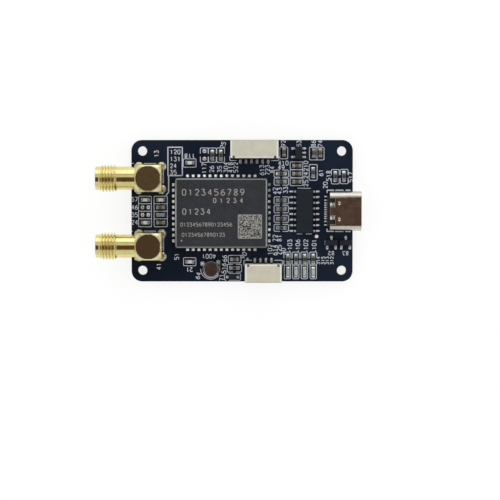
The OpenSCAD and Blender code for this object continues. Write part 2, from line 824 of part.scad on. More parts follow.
module surge_diode(n) {
    color("#1c1f1f") translate([surge_diode_places[n].x, surge_diode_places[n].y, seat])
        rotate(90) moulded_body(2.9, surge_w, surge_h, 0.08, 0.08);
}

module surge_diode_1() { surge_diode(0); }
module surge_diode_2() { surge_diode(1); }

module surge_diode_leads() {
    rise = 0.54;
    color("#d0d2d2") for (p = surge_diode_places) translate([p[0], p[1], seat]) {
        rotate(90) translate([surge_w / 2, 0, 0]) gull_lead(0.6, rise, 0.25, 0.42, 0.14);
        for (s = [-1, 1]) translate([s * 0.95, 0, 0]) rotate(-90)
            translate([surge_w / 2, 0, 0]) gull_lead(0.6, rise, 0.25, 0.42, 0.14);
    }
}

rectifier_l = 1.7;

module rectifier_diode() {
    color("#202224") translate([rectifier_place.x, rectifier_place.y, seat])
        moulded_body(1.25, rectifier_l, 0.95, 0.05, 0.08);
}

module rectifier_diode_leads() {
    color("#d0d2d2") translate([rectifier_place.x, rectifier_place.y, seat])
        for (turn = [0, 180]) rotate(turn) translate([rectifier_l / 2, 0, 0])
            gull_lead(0.45, 0.5, 0.15, 0.3, 0.12);
}

// Backup cell, can down and lid up, on two welded tabs

cell_foot = 1;
cell_lid_d = cell_d - 0.5;
cell_gasket_t = 0.12;
cell_feet = [[cell_x - 1.95, cell_y + 1.3], [cell_x + 1.6, cell_y + 1.65]];
tab_t = 0.15;
cell_z = seat + tab_t;

module at_cell(z) {
    translate([cell_x, cell_y, z]) children();
}

module backup_cell_can() {
    color("#b9b4ae") at_cell(cell_z) difference() {
        rotate_extrude() polygon([[0, 0], [cell_d / 2 - 0.15, 0], [cell_d / 2, 0.15],
            [cell_d / 2, cell_h - 0.25], [cell_d / 2 - 0.12, cell_h - 0.1],
            [0, cell_h - 0.1]]);
        translate([0, 0, 0.2]) cylinder(d = cell_lid_d + 2 * cell_gasket_t, h = cell_h);
    }
}

module backup_cell_gasket() {
    color("#26221f") at_cell(cell_z + 0.2) difference() {
        cylinder(d = cell_lid_d + 2 * cell_gasket_t, h = cell_h - 0.3);
        translate([0, 0, 0.15]) cylinder(d = cell_lid_d, h = cell_h);
    }
}

module backup_cell_lid() {
    color("#6a4a3c") at_cell(cell_z + 0.35) rotate_extrude()
        polygon([[0, 0], [cell_lid_d / 2, 0], [cell_lid_d / 2, cell_h - 0.5],
            [cell_lid_d / 2 - 0.15, cell_h - 0.35], [0, cell_h - 0.35]]);
}

module backup_cell_tabs() {
    tab_w = 0.7;
    reach = 2.2;
    strip_y = [-0.5, 2];
    color("#c4c2bc") {
        for (p = cell_feet) translate([p[0], p[1], seat]) standing_box(0.8, 0.8, tab_t);
        at_cell(seat) {
            linear_extrude(tab_t) {
                circle(d = 2.6);
                for (turn = [146, 45]) rotate(turn) translate([0, -tab_w / 2]) square([reach, tab_w]);
            }
            // Strip up the side of the can
            translate([cell_d / 2, strip_y[0], 0])
                cube([tab_t, strip_y[1] - strip_y[0], tab_t + cell_h - 0.3]);
        }
    }
}

// Chip parts, drawn along X

end_l = 0.35;
capacitor_h = 0.8;
resistor_h = 0.45;
lamp_base_h = 0.25;
lamp_h = 0.6;
fuse_h = 0.5;

// The middle of a chip part, between its metal ends
module chip_middle(h, w) {
    standing_box(chip_l - 2 * end_l, w, h);
}

// A metal end: the cap over the chip's end face
module chip_ends(h, w) {
    for (s = [-1, 1]) translate([s * (chip_l - end_l) / 2, 0, 0])
        drawn_box(end_l, w, h, 0.05, 0.05);
}

module brown_capacitors() {
    color("#6b5a3c") at_places(brown_capacitor_places) chip_middle(capacitor_h - 0.03, chip_w - 0.04);
}

module pale_capacitors() {
    color("#a8a79c") at_places(pale_capacitor_places) chip_middle(capacitor_h - 0.13, chip_w - 0.04);
}

module capacitor_ends() {
    color("#c8c4b8") {
        at_places(brown_capacitor_places) chip_ends(capacitor_h, chip_w);
        at_places(pale_capacitor_places) chip_ends(capacitor_h - 0.1, chip_w);
    }
}

module feed_inductor() {
    color("#7d8a92") at_places(inductor_places) chip_middle(capacitor_h - 0.03, chip_w - 0.04);
}

module feed_inductor_ends() {
    color("#c8c8c4") at_places(inductor_places) chip_ends(capacitor_h, chip_w);
}

module fuse() {
    color("#3a3d3f") at_places(fuse_places) {
        chip_middle(fuse_h - 0.05, chip_w - 0.04);
        translate([0, 0, fuse_h - 0.05]) standing_box(0.25, chip_w - 0.2, 0.05);
    }
}

module fuse_ends() {
    color("#c8c8c4") at_places(fuse_places) chip_ends(fuse_h, chip_w);
}

// A resistor's ceramic slip with the dark glaze proud of it
module resistor_middle() {
    chip_middle(resistor_h - 0.08, chip_w - 0.02);
    translate([0, 0, resistor_h - 0.08]) standing_box(chip_l - 2 * end_l, chip_w - 0.1, 0.05);
}

module supply_resistors() { color("#2e2f31") at_places(supply_resistor_places) resistor_middle(); }
module module_resistors() { color("#2e2f31") at_places(module_resistor_places) resistor_middle(); }
module usb_resistors() { color("#2e2f31") at_places(usb_resistor_places) resistor_middle(); }
module lamp_resistors() { color("#2e2f31") at_places(lamp_resistor_places) resistor_middle(); }

module resistor_ends() {
    color("#c8c8c4") at_places(resistor_places) chip_ends(resistor_h, chip_w);
}

module lamp_bases() {
    color("#e4e6e0") at_places(lamp_places)
        standing_box(chip_l - 0.4, chip_w, lamp_base_h);
}

// The moulded lens, a little shorter than its base
module lamp_lenses() {
    color("#cfd8cc") at_places(lamp_places) translate([0, 0, lamp_base_h])
        moulded_body(chip_w - 0.02, chip_l - 0.45, lamp_h - lamp_base_h, 0, 0.06);
}

module lamp_ends() {
    color("#c8c8c4") at_places(lamp_places) for (s = [-1, 1])
        translate([s * (chip_l / 2 - 0.1), 0, 0]) standing_box(0.2, chip_w, lamp_base_h);
}

circuit_board();
solder_joints();
antenna_jack_1_body();
antenna_jack_1_barrel();
antenna_jack_1_cap();
antenna_jack_1_insulator();
antenna_jack_1_contact();
antenna_jack_2_body();
antenna_jack_2_barrel();
antenna_jack_2_cap();
antenna_jack_2_insulator();
antenna_jack_2_contact();
module_carrier();
module_shield_can();
positioning_processor();
reference_oscillator();
antenna_filters();
upper_header_housing();
upper_header_contacts();
upper_header_anchors();
lower_header_housing();
lower_header_contacts();
lower_header_anchors();
usb_shell();
usb_insulator();
usb_contacts();
usb_mid_plate();
serial_bridge_chip();
serial_bridge_leads();
regulator_chip();
regulator_leads();
surge_diode_1();
surge_diode_2();
surge_diode_leads();
rectifier_diode();
rectifier_diode_leads();
backup_cell_can();
backup_cell_gasket();
backup_cell_lid();
backup_cell_tabs();
brown_capacitors();
pale_capacitors();
capacitor_ends();
feed_inductor();
feed_inductor_ends();
fuse();
fuse_ends();
supply_resistors();
module_resistors();
usb_resistors();
lamp_resistors();
resistor_ends();
lamp_bases();
lamp_lenses();
lamp_ends();
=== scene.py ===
# Receiver board with two gilt coax jacks: its finishes, printing, threads and solder.
# Lengths are in metres unless a name ends in Mm. Finishes, strokes and marks are given in millimetres.
import json
import math
import bmesh
import bpy
from mathutils import Matrix, Vector

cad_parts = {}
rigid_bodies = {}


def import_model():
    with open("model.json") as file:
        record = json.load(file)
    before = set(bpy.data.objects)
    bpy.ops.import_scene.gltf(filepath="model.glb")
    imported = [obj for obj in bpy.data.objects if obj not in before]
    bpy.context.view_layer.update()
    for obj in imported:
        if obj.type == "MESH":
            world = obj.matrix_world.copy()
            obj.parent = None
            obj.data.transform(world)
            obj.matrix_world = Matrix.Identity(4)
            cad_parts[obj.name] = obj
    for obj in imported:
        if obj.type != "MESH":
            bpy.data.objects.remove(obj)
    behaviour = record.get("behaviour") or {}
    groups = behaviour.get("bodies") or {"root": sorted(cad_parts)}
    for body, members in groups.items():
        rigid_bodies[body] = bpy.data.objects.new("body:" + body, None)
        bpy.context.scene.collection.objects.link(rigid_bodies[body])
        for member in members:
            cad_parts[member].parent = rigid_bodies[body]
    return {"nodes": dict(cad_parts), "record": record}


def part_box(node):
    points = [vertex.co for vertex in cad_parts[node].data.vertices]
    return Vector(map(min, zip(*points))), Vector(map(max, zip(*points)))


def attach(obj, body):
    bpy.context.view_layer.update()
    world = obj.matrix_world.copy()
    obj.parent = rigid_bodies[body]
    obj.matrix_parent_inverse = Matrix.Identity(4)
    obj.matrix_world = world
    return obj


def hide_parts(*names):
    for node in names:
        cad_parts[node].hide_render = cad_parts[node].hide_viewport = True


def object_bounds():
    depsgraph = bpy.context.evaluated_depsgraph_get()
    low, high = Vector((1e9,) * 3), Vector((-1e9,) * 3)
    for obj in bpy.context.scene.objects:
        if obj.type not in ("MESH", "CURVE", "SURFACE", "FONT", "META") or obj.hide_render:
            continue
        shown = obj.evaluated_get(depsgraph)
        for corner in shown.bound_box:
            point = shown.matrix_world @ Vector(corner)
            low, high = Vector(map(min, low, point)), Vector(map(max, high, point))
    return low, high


mm = 0.001
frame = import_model()
nodes = frame["nodes"]
cadBox = [list(corner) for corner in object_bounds()]
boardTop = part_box("circuit_board")[1].z
slotOf = {part["node"]: part["material_slot"] for part in frame["record"]["subparts"]}
print("frame loaded:", len(nodes), "nodes")


# A method that adds a Math node to the tree
def mathsNode(operation, swapped=False):
    def work(self, *others):
        values = (*others, self) if swapped else (self, *others)
        return self.desk.add("ShaderNodeMath", {"operation": operation}, dict(enumerate(values)))
    return work


# A socket of a node tree, which can be added to, multiplied and compared
class Wire:
    def __init__(self, desk, socket):
        self.desk = desk
        self.socket = socket

    __add__ = mathsNode("ADD")
    __radd__ = mathsNode("ADD", True)
    __sub__ = mathsNode("SUBTRACT")
    __rsub__ = mathsNode("SUBTRACT", True)
    __mul__ = mathsNode("MULTIPLY")
    __rmul__ = mathsNode("MULTIPLY", True)
    __truediv__ = mathsNode("DIVIDE")
    __rtruediv__ = mathsNode("DIVIDE", True)
    __mod__ = mathsNode("FLOORED_MODULO")
    __pow__ = mathsNode("POWER")
    __abs__ = mathsNode("ABSOLUTE")
    __gt__ = mathsNode("GREATER_THAN")
    most = mathsNode("MAXIMUM")
    least = mathsNode("MINIMUM")
    floor = mathsNode("FLOOR")
    sine = mathsNode("SINE")
    cosine = mathsNode("COSINE")
    squareRoot = mathsNode("SQRT")

    def root(self):
        return self.most(0.0).squareRoot()

    # A sine whose crests are one pitch apart
    def wave(self, pitch):
        return (self * (math.tau / pitch)).sine()

    # 0 below low, 1 above high, and a soft step between
    def step(self, low, high):
        return self.desk.add("ShaderNodeMapRange", {"interpolation_type": "SMOOTHSTEP"},
                             {0: self, 1: low, 2: high, 3: 0.0, 4: 1.0})

    # 1 between two soft edges, and 0 outside them
    def band(self, start, full, fading, end):
        return self.step(start, full) * (1 - self.step(fading, end))

    # The span from low to high, stretched to run from one value to another
    def spread(self, start, end, low=0.0, high=1.0):
        return self.desk.add("ShaderNodeMapRange", {}, {0: self, 1: low, 2: high, 3: start, 4: end})

    def part(self, number):
        return self.desk.add("ShaderNodeSeparateXYZ", {}, {0: self}, number)

    x = property(lambda self: self.part(0))
    y = property(lambda self: self.part(1))
    z = property(lambda self: self.part(2))


def colour(value):
    return value if isinstance(value, Wire) else (*value, 1)


# A node tree on the bench: add() makes any node, sets it and wires it up
class Desk:
    def __init__(self, tree):
        self.tree = tree

    def add(self, kind, settings=None, sockets=None, output=0):
        node = self.tree.nodes.new(kind)
        for key, value in (settings or {}).items():
            if key == "stops":
                self.setStops(node.color_ramp, value)
            else:
                setattr(node, key, value)
        for key, value in (sockets or {}).items():
            if isinstance(value, Wire):
                self.tree.links.new(value.socket, node.inputs[key])
            else:
                node.inputs[key].default_value = value
        return Wire(self, node.outputs[output] if node.outputs else None)

    def setStops(self, ramp, stops):
        while len(ramp.elements) < len(stops):
            ramp.elements.new(0.5)
        for element, (place, tone) in zip(ramp.elements, stops):
            element.position = place
            element.color = colour(tone)

    # Object coordinates in millimetres
    def place(self):
        return self.stretched(self.add("ShaderNodeTexCoord", output="Object"), (1 / mm, 1 / mm, 1 / mm))

    def normal(self):
        return self.add("ShaderNodeNewGeometry", output="Normal")

    def field(self, name, kind="FLOAT"):
        return self.add("GeometryNodeInputNamedAttribute", {"data_type": kind}, {"Name": name})

    def vector(self, x, y, z):
        return self.add("ShaderNodeCombineXYZ", {}, {0: x, 1: y, 2: z})

    def stretched(self, place, scale):
        return self.add("ShaderNodeMapping", {}, {"Vector": place, "Scale": scale})

    # Cloudy noise whose lumps are about as large as size, in the unit of the place
    def noise(self, place, size, detail=2.0, roughness=0.5):
        return self.add("ShaderNodeTexNoise", {}, {"Vector": place, "Scale": 1 / size, "Detail": detail,
                                                   "Roughness": roughness})

    def blend(self, factor, first, second):
        return self.add("ShaderNodeMix", {"data_type": "RGBA"},
                        {0: factor, 6: colour(first), 7: colour(second)}, 2)

    # A blend that follows noise, which lies mostly between low and high
    def mottled(self, noise, dark, pale, low=0.3, high=0.7):
        return self.blend(noise.spread(0, 1, low, high), dark, pale)

    def bump(self, height, depthMm):
        return self.add("ShaderNodeBump", {}, {"Strength": 1.0, "Distance": depthMm * mm, "Height": height})


def addObject(name, data):
    item = bpy.data.objects.new(name, data)
    bpy.context.scene.collection.objects.link(item)
    return item


# Camera and light

studio = {
    "eye": (0.0, 11.6 * mm, 350 * mm),
    "pxPerMm": 4.424,
    "boardCentrePx": (242.1, 210.8),
    "sensor": 36.0,
    "imagePx": 500,
    "clipStart": 0.01,
    # Dark patches of the sky: the way to each middle, the cosines at its edge, and its depth
    "patches": (((0.0, -0.208, 0.978), (0.908, 0.928), 1.0),
                ((0.14, 0.26, 0.955), (0.988, 0.9935), 1.0),
                ((0.0, 0.588, 0.809), (0.9925, 0.9976), 0.7)),
    "patchColour": (0.128, 0.072, 0.050),
    "skyColour": (0.97, 0.98, 1.0),
    "skyForDiffuse": 0.95,
    "skyForGloss": 0.80,
    "softboxPlace": (0.03, 0.464, 0.19),
    "softboxSize": (0.6, 0.38),
    "softboxRadiance": 0.76,
    "floorHalf": 3.0,
    "floorGapMm": 0.02,
    "floorColour": (0.8, 0.8, 0.8),
    "floorGlow": 0.7,
    "floorLevel": 1.17,
}


def makeCamera():
    eye = Vector(studio["eye"])
    view = Vector((0, 0, boardTop)) - eye
    right = view.cross(Vector((0, 1, 0))).normalized()
    turn = Matrix((right, right.cross(view).normalized(), -view.normalized())).transposed()
    camera = addObject("camera", bpy.data.cameras.new("camera"))
    camera.matrix_world = Matrix.Translation(eye) @ turn.to_4x4()
    lens, image = camera.data, studio["imagePx"]
    lens.sensor_width = studio["sensor"]
    lens.lens = studio["pxPerMm"] / mm * view.length * studio["sensor"] / image
    lens.shift_x = (image / 2 - studio["boardCentrePx"][0]) / image
    lens.shift_y = (studio["boardCentrePx"][1] - image / 2) / image
    lens.clip_start = studio["clipStart"]
    bpy.context.scene.camera = camera


def makeSky():
    world = bpy.data.worlds.new("studio")
    world.use_nodes = True
    world.node_tree.nodes.clear()
    bpy.context.scene.world = world
    desk = Desk(world.node_tree)
    way = desk.add("ShaderNodeTexCoord", output="Generated")
    shade = 0.0
    for middle, edge, depth in studio["patches"]:
        cosine = desk.add("ShaderNodeVectorMath", {"operation": "DOT_PRODUCT"}, {0: way, 1: middle}, "Value")
        shade = (cosine.step(*edge) * depth).most(shade)
    sky = desk.blend(shade, studio["skyColour"], studio["patchColour"])
    fromCamera = desk.add("ShaderNodeLightPath", output="Is Camera Ray")
    fromDiffuse = desk.add("ShaderNodeLightPath", output="Is Diffuse Ray")
    gloss = studio["skyForGloss"]
    strength = fromDiffuse * (studio["skyForDiffuse"] - gloss) + fromCamera * (1 - gloss) + gloss
    background = desk.add("ShaderNodeBackground", {}, {"Color": desk.blend(fromCamera, sky, (1, 1, 1)),
                                                       "Strength": strength})
    desk.add("ShaderNodeOutputWorld", {}, {"Surface": background})


def makeSoftbox():
    data = bpy.data.lights.new("key softbox", "AREA")
    width, height = studio["softboxSize"]
    data.shape = "RECTANGLE"
    data.size = width
    data.size_y = height
    data.energy = studio["softboxRadiance"] * math.pi * width * height
    lamp = addObject("key softbox", data)
    place = Vector(studio["softboxPlace"])
    turn = (-place).to_track_quat("-Z", "Y").to_matrix()
    lamp.matrix_world = Matrix.Translation(place) @ turn.to_4x4()
    lamp.visible_camera = False


# The floor glows to white for the camera and in reflections, and is pale paper under its shadow
def makeFloor():
    material = bpy.data.materials.new("pale floor")
    material.use_nodes = True
    material.node_tree.nodes.clear()
    desk = Desk(material.node_tree)
    seen = 0
    for ray in ("Is Camera Ray", "Is Glossy Ray", "Is Transmission Ray"):
        seen = seen + desk.add("ShaderNodeLightPath", output=ray)
    paper = desk.add("ShaderNodeBsdfDiffuse", {}, {"Color": colour(studio["floorColour"])})
    glow = desk.add("ShaderNodeEmission", {}, {"Color": (1, 1, 1, 1), "Strength": studio["floorLevel"]})
    both = desk.add("ShaderNodeMixShader", {}, {0: (seen > 0.5) * studio["floorGlow"], 1: paper, 2: glow})
    desk.add("ShaderNodeOutputMaterial", {}, {"Surface": both})
    half, level = studio["floorHalf"], cadBox[0][2] - studio["floorGapMm"] * mm
    mesh = bpy.data.meshes.new("floor")
    mesh.from_pydata([(-half, -half, level), (half, -half, level), (half, half, level),
                      (-half, half, level)], [], [(0, 1, 2, 3)])
    mesh.materials.append(material)
    floor = addObject("floor", mesh)


makeCamera()
makeSky()
makeSoftbox()
makeFloor()
bpy.context.scene.view_settings.view_transform = "Standard"
print("camera, light and floor set")


# Finishes. Most tones come as a dark and a pale one, or as what is plain and what it turns to.

tones = {
    "mask": ((0.0062, 0.0115, 0.0225), (0.0115, 0.0200, 0.0360)),
    "laminate": ((0.10, 0.085, 0.035), (0.24, 0.2, 0.09), (0.42, 0.37, 0.2)),
    "solder": ((0.70, 0.72, 0.73), (0.46, 0.46, 0.43)),
    "steepSolderShade": (0.14, 0.145, 0.15),
    "postSolder": (0.46, 0.42, 0.30),
    "padSolder": ((0.86, 0.87, 0.87), (0.22, 0.23, 0.23)),
    "gilt": ((0.72, 0.61, 0.235), (0.82, 0.73, 0.36)),
    "block": ((0.74, 0.66, 0.33), (0.83, 0.76, 0.46)),
    "blockCornerShade": (0.58, 0.49, 0.22),
    "blockSeatShade": (0.52, 0.49, 0.29),
    "lowerCap": ((0.48, 0.46, 0.27), (0.58, 0.56, 0.34)),
    "upperCap": ((0.55, 0.575, 0.315), (0.67, 0.70, 0.40)),
    "lowerHousing": ((0.62, 0.585, 0.44), (0.715, 0.68, 0.53)),
    "upperHousing": ((0.615, 0.59, 0.465), (0.71, 0.69, 0.555)),
    "housingEdgeHighlight": (0.85, 0.86, 0.80),
    "housingFrontShade": (0.46, 0.44, 0.36),
    "housingNotchShade": (0.13, 0.12, 0.075),
    "tin": ((0.74, 0.74, 0.73), (0.88, 0.88, 0.86)),
    "steepTinShade": (0.17, 0.175, 0.18),
    "headerTailShade": (0.44, 0.43, 0.41),
    "headerWallShadow": (0.08, 0.075, 0.07),
    "socketTail": ((0.84, 0.85, 0.85), (0.26, 0.275, 0.27)),
    "shell": ((0.56, 0.53, 0.47), (0.66, 0.63, 0.565)),
    "springTabHighlight": (0.9, 0.89, 0.86),
    "can": ((0.011, 0.013, 0.017), (0.037, 0.040, 0.047)),
    "canRim": ((0.26, 0.275, 0.28), (0.44, 0.45, 0.45)),
    "brownCeramic": ((0.068, 0.053, 0.022), (0.150, 0.125, 0.068)),
    "glazeSide": ((0.5, 0.48, 0.43), (0.62, 0.6, 0.55)),
    "glazeTop": ((0.022, 0.027, 0.020), (0.060, 0.068, 0.052)),
}


def boxMm(name):
    low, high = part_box(name)
    return low / mm, high / mm


# How far a place is past a box's sides, in x and in y
def pastSides(place, low, high):
    middle, half = (low + high) / 2, (high - low) / 2
    return abs(place.x - middle.x) - half.x, abs(place.y - middle.y) - half.y


# A moulding: grain over soft clouds
def moulded(desk, place, dark, pale, smooth, rough, grainMm, bumpMm):
    grain = desk.noise(place, grainMm, 3.0, 0.6)
    cloud = desk.noise(place, grainMm * 14)
    return {
        "Base Color": desk.mottled(grain * 0.4 + cloud * 0.6, dark, pale),
        "Roughness": grain.spread(smooth, rough, 0.3, 0.7),
        "Normal": desk.bump(grain, bumpMm),
    }


# Plated sheet: cloudy in tone, and its gloss follows the grain as well
def plated(desk, place, dark, pale, smooth, rough, grainMm, bumpMm, metallic=1.0):
    grain = desk.noise(place, grainMm, 3.0, 0.6)
    cloud = desk.noise(place, grainMm * 9)
    return {
        "Base Color": desk.mottled(cloud, dark, pale),
        "Metallic": metallic,
        "Roughness": (grain * 0.5 + cloud * 0.5).spread(smooth, rough, 0.3, 0.7),
        "Normal": desk.bump(grain, bumpMm),
    }


# Ink or a laser mark: finely speckled
def speckled(desk, place, dark, pale, smooth, rough, grainMm, bumpMm):
    grain = desk.noise(place, grainMm, 2.0, 0.7)
    return {
        "Base Color": desk.mottled(grain, dark, pale),
        "Roughness": grain.spread(smooth, rough),
        "Normal": desk.bump(grain, bumpMm),
    }


# Dark mask, mottled by the copper pour under it, with painted light that pales it a little to the right and
# upwards, and bare laminate on the cut edges
def drawMask(desk, place):
    half = boardTop / mm / 2
    side = 1 - abs(desk.normal().z).step(0.3, 0.7)
    core = side * (1 - abs(place.z - half).step(half - 0.05, half - 0.03))
    # The noise is the pour's own tone; the drift to the right and upwards is painted light
    pourAndPaintedLight = desk.noise(place, 9, 1.0) + place.x / 180 + place.y / 160
    strands = desk.noise(desk.stretched(place, (1, 1, 7)), 0.5, 3.0)
    layers = place.z / 0.19 % 1.0 * 0.35 + strands * 0.75
    laminate = desk.add("ShaderNodeValToRGB", {"stops": list(zip((0.2, 0.5, 0.8), tones["laminate"]))},
                        {0: layers})
    weave = place.x.wave(0.9) * place.y.wave(0.9) * 0.25 + desk.noise(place, 0.25, 3.0)
    return {
        "Base Color": desk.blend(core, desk.mottled(pourAndPaintedLight, *tones["mask"]), laminate),
        "Roughness": core * 0.4 + desk.noise(place, 1.5).spread(0.24, 0.36),
        "Normal": desk.bump(weave, 0.004),
    }


# Solder is warm at the jacks' posts, brightest at the module's pads and the socket's tails, painted dark
# where it is steep as a painted reflection of dark surroundings, and darker in patches at the module's
# right-hand pads
def drawSolder(desk, place):
    low, high = boxMm("module_carrier")
    fromX, fromY = pastSides(place, low, high)
    pad = (1 - fromX.step(0.75, 0.85)) * (1 - fromY.step(0.75, 0.85))
    post = (1 - place.x.step(-17.6, -17.3)) * abs(place.y).step(3.9, 4.1)
    tail = place.x.band(18.4, 18.5, 19.3, 19.4) * (1 - abs(place.y).step(3.6, 3.7))
    steep = 1 - desk.normal().z.step(0.45, 0.8)
    flux = desk.noise(place, 1.6, 1.0).step(0.5, 0.7)
    plain = desk.blend(steep * 0.7, desk.blend(flux, *tones["solder"]), tones["steepSolderShade"])
    dim = (place.x - high.x).step(-0.2, 0) * desk.noise(place, 1.1, 1.0).step(0.62, 0.42)
    lumps = desk.noise(place, 0.35, 3.0, 0.6)
    return {
        "Base Color": desk.blend(1 - (1 - tail) * (1 - pad), desk.blend(post, plain, tones["postSolder"]),
                                 desk.blend(dim * pad, *tones["padSolder"])),
        "Metallic": 0.84 - tail * 0.44 - pad * 0.5 - (1 - post) * (1 - tail) * (1 - pad) * 0.14,
        "Roughness": lumps.spread(0.08, 0.30, 0.3, 0.7),
        "Normal": desk.bump(lumps, 0.012),
    }


# Gold plating over turned brass, with lathe lines round the barrel
def drawBarrel(desk, place):
    grain = desk.noise(desk.stretched(place, (4, 1, 1)), 0.12)
    return {
        "Base Color": desk.mottled(desk.noise(place, 1.8, 3.0, 0.6), *tones["gilt"]),
        "Metallic": 1.0,
        "Roughness": grain.spread(0.08, 0.2),
        "Normal": desk.bump(place.x.wave(0.07) * 0.3 + grain, 0.0012),
    }


# The flat lip round each pressed cap is shaded by its bump as a slope that falls outwards from a rounded
# square.
# Inside the lip the gilt is painted darker, a ring of painted shade round the cap, and the corners get a
# deeper gold as painted shade
def drawBlock(desk, place):
    low, high = boxMm("antenna_jack_1_cap")
    other = boxMm("antenna_jack_2_cap")[0]
    halfway, apart = (high.y + other.y) / 2, (low.y - other.y) / 2
    across = abs(place.x - ((low.x + high.x) / 2 - 0.05))
    along = abs(abs(place.y - halfway) - apart)
    fromAxis = (across ** 3 + along ** 3) ** (1 / 3)
    lip = 1 - fromAxis.spread(0, 1, 2.74, 2.9)
    seatShade = (1 - fromAxis.step(2.68, 2.76)) * place.z.step(high.z - 0.2, high.z - 0.1)
    corner = fromAxis.step(3.0, 3.5) * place.z.step(6.8, 7.4)
    gilt = desk.mottled(desk.noise(place, 2.5, 3.0, 0.6), *tones["block"])
    grain = desk.noise(place, 0.12)
    return {
        "Base Color": desk.blend(seatShade, desk.blend(corner, gilt, tones["blockCornerShade"]), tones["blockSeatShade"]),
        "Metallic": 1.0,
        "Roughness": grain * 0.16 + 0.1,
        "Normal": desk.bump(lip + (place.z.wave(0.09) * 0.3 + grain) * 0.015, 0.085),
    }


# Pressed caps: the lower one painted a browner, darker gold than the upper, a painted shade for how the two
# catch the light
def drawCap(desk, place):
    cloud = desk.noise(place, 0.7, 3.0, 0.6)
    lower, upper = (desk.blend(cloud, *tones[name]) for name in ("lowerCap", "upperCap"))
    return {
        "Base Color": desk.blend(place.y.step(-2, 2), lower, upper),
        "Metallic": 1.0,
        "Roughness": desk.noise(place, 0.12).spread(0.10, 0.22),
        "Normal": desk.bump(cloud, 0.002),
    }


# Header mouldings: a painted highlight along the side and back edges of the top, a line of painted shade
# along the front, and painted shade inside the two small notches
def drawHousing(desk, place):
    upper, lower = boxMm("upper_header_housing"), boxMm("lower_header_housing")
    far = place.y.step(-2, 2)

    def either(first, second):
        return far * (first - second) + second

    middle = either((upper[0].x + upper[1].x) / 2, (lower[0].x + lower[1].x) / 2)
    half = either((upper[1].x - upper[0].x) / 2, (lower[1].x - lower[0].x) / 2)
    side = half - abs(place.x - middle)
    back = abs(place.y) - either(upper[0].y, -lower[1].y)
    front = either(upper[1].y, -lower[0].y) - abs(place.y)
    roof = upper[1].z
    edge = (1 - side.step(0.34, 0.46) * back.step(0.24, 0.36)) * place.z.step(roof - 0.3, roof - 0.2)
    notch = place.z.band(roof - 0.65, roof - 0.62, roof - 0.15, roof - 0.1)
    notch = notch * side.band(0.44, 0.48, 1.02, 1.06) * (1 - back.step(0.52, 0.56))
    dark, pale = (desk.blend(far, *both) for both in zip(tones["lowerHousing"], tones["upperHousing"]))
    looks = moulded(desk, place, dark, pale, 0.40, 0.58, 0.11, 0.006)
    edged = desk.blend(edge, looks["Base Color"], tones["housingEdgeHighlight"])
    lined = desk.blend(1 - front.step(0.1, 0.24), edged, tones["housingFrontShade"])
    looks["Base Color"] = desk.blend(notch, lined, tones["housingNotchShade"])
    return looks


# Tinned leads, with a painted dark reflection on their steep faces, and painted shadow where the headers'
# contacts leave their back walls: near black at the wall and grey further out
def drawTinned(desk, place):
    out = boxMm("upper_header_housing")[0].y - abs(place.y)
    steep = 1 - desk.normal().z.step(0.5, 0.85)
    looks = plated(desk, place, *tones["tin"], 0.10, 0.24, 0.12, 0.004, 0.7)
    tin = desk.blend(steep, looks["Base Color"], tones["steepTinShade"])
    tin = desk.blend(out.band(0.3, 0.42, 1.15, 1.2), tin, tones["headerTailShade"])
    looks["Base Color"] = desk.blend(out.band(-0.1, -0.05, 0.3, 0.42), tin, tones["headerWallShadow"])
    return looks


# Gilt contacts, silver where the socket's tails come out on the board
def drawContact(desk, place):
    cloud = desk.noise(place, 0.5, 3.0, 0.6)
    tail = place.x.band(10, 11, 19.9, 20.1)
    silver = desk.blend(place.x.step(18.95, 19.15), *tones["socketTail"])
    return {
        "Base Color": desk.blend(tail, desk.blend(cloud, *tones["gilt"]), silver),
        "Metallic": 1 - tail * 0.7,
        "Roughness": cloud.spread(0.08, 0.2),
        "Normal": desk.bump(cloud, 0.002),
    }


# The socket's folded shell, with a painted highlight on its two spring tabs at the back
def drawShell(desk, place):
    low, high = boxMm("usb_shell")
    tab = (1 - place.x.step(low.x + 0.5, low.x + 0.62)) * place.z.step(high.z - 0.9, high.z - 0.8)
    tab = tab * abs(place.y - (low.y + high.y) / 2).band(1.15, 1.25, 1.85, 1.95)
    looks = plated(desk, place, *tones["shell"], 0.10, 0.22, 0.16, 0.0016)
    looks["Base Color"] = desk.blend(tab, looks["Base Color"], tones["springTabHighlight"])
    looks["Metallic"] = 1 - tab * 0.85
    return looks


# The can: matte dark top, brighter where the drawn edge turns down, and that rim painted paler at the left
# and right than at top and bottom as a painted highlight
def drawShield(desk, place):
    fromX, fromY = pastSides(place, *boxMm("module_shield_can"))
    rim = fromX.most(fromY).step(-0.42, -0.2).most(1 - desk.normal().z.step(0.5, 0.9))
    grain = desk.noise(place, 0.09, 3.0, 0.7)
    cloud = desk.noise(place, 3.2, 3.0, 0.6)
    mottle = desk.noise(place, 0.26, 2.0, 0.6) * 0.6 + grain * 0.15 + cloud * 0.25
    return {
        "Base Color": desk.blend(rim, desk.mottled(mottle, *tones["can"], 0.36, 0.64),
                                 desk.blend(fromX.step(-0.45, -0.4), *tones["canRim"])),
        "Metallic": rim * 0.85 + 0.1,
        "Roughness": 0.62 - rim * 0.3 + (grain - 0.5) * 0.2,
        "Normal": desk.bump(grain, 0.006),
    }


def drawBrownCeramic(desk, place):
    grain = desk.noise(place, 0.06, 2.0, 0.7)
    cloud = desk.noise(place, 1.1, 1.0)
    return {
        "Base Color": desk.mottled(grain * 0.5 + cloud * 0.5, *tones["brownCeramic"], 0.35, 0.65),
        "Roughness": grain.spread(0.35, 0.55),
        "Normal": desk.bump(grain, 0.003),
    }


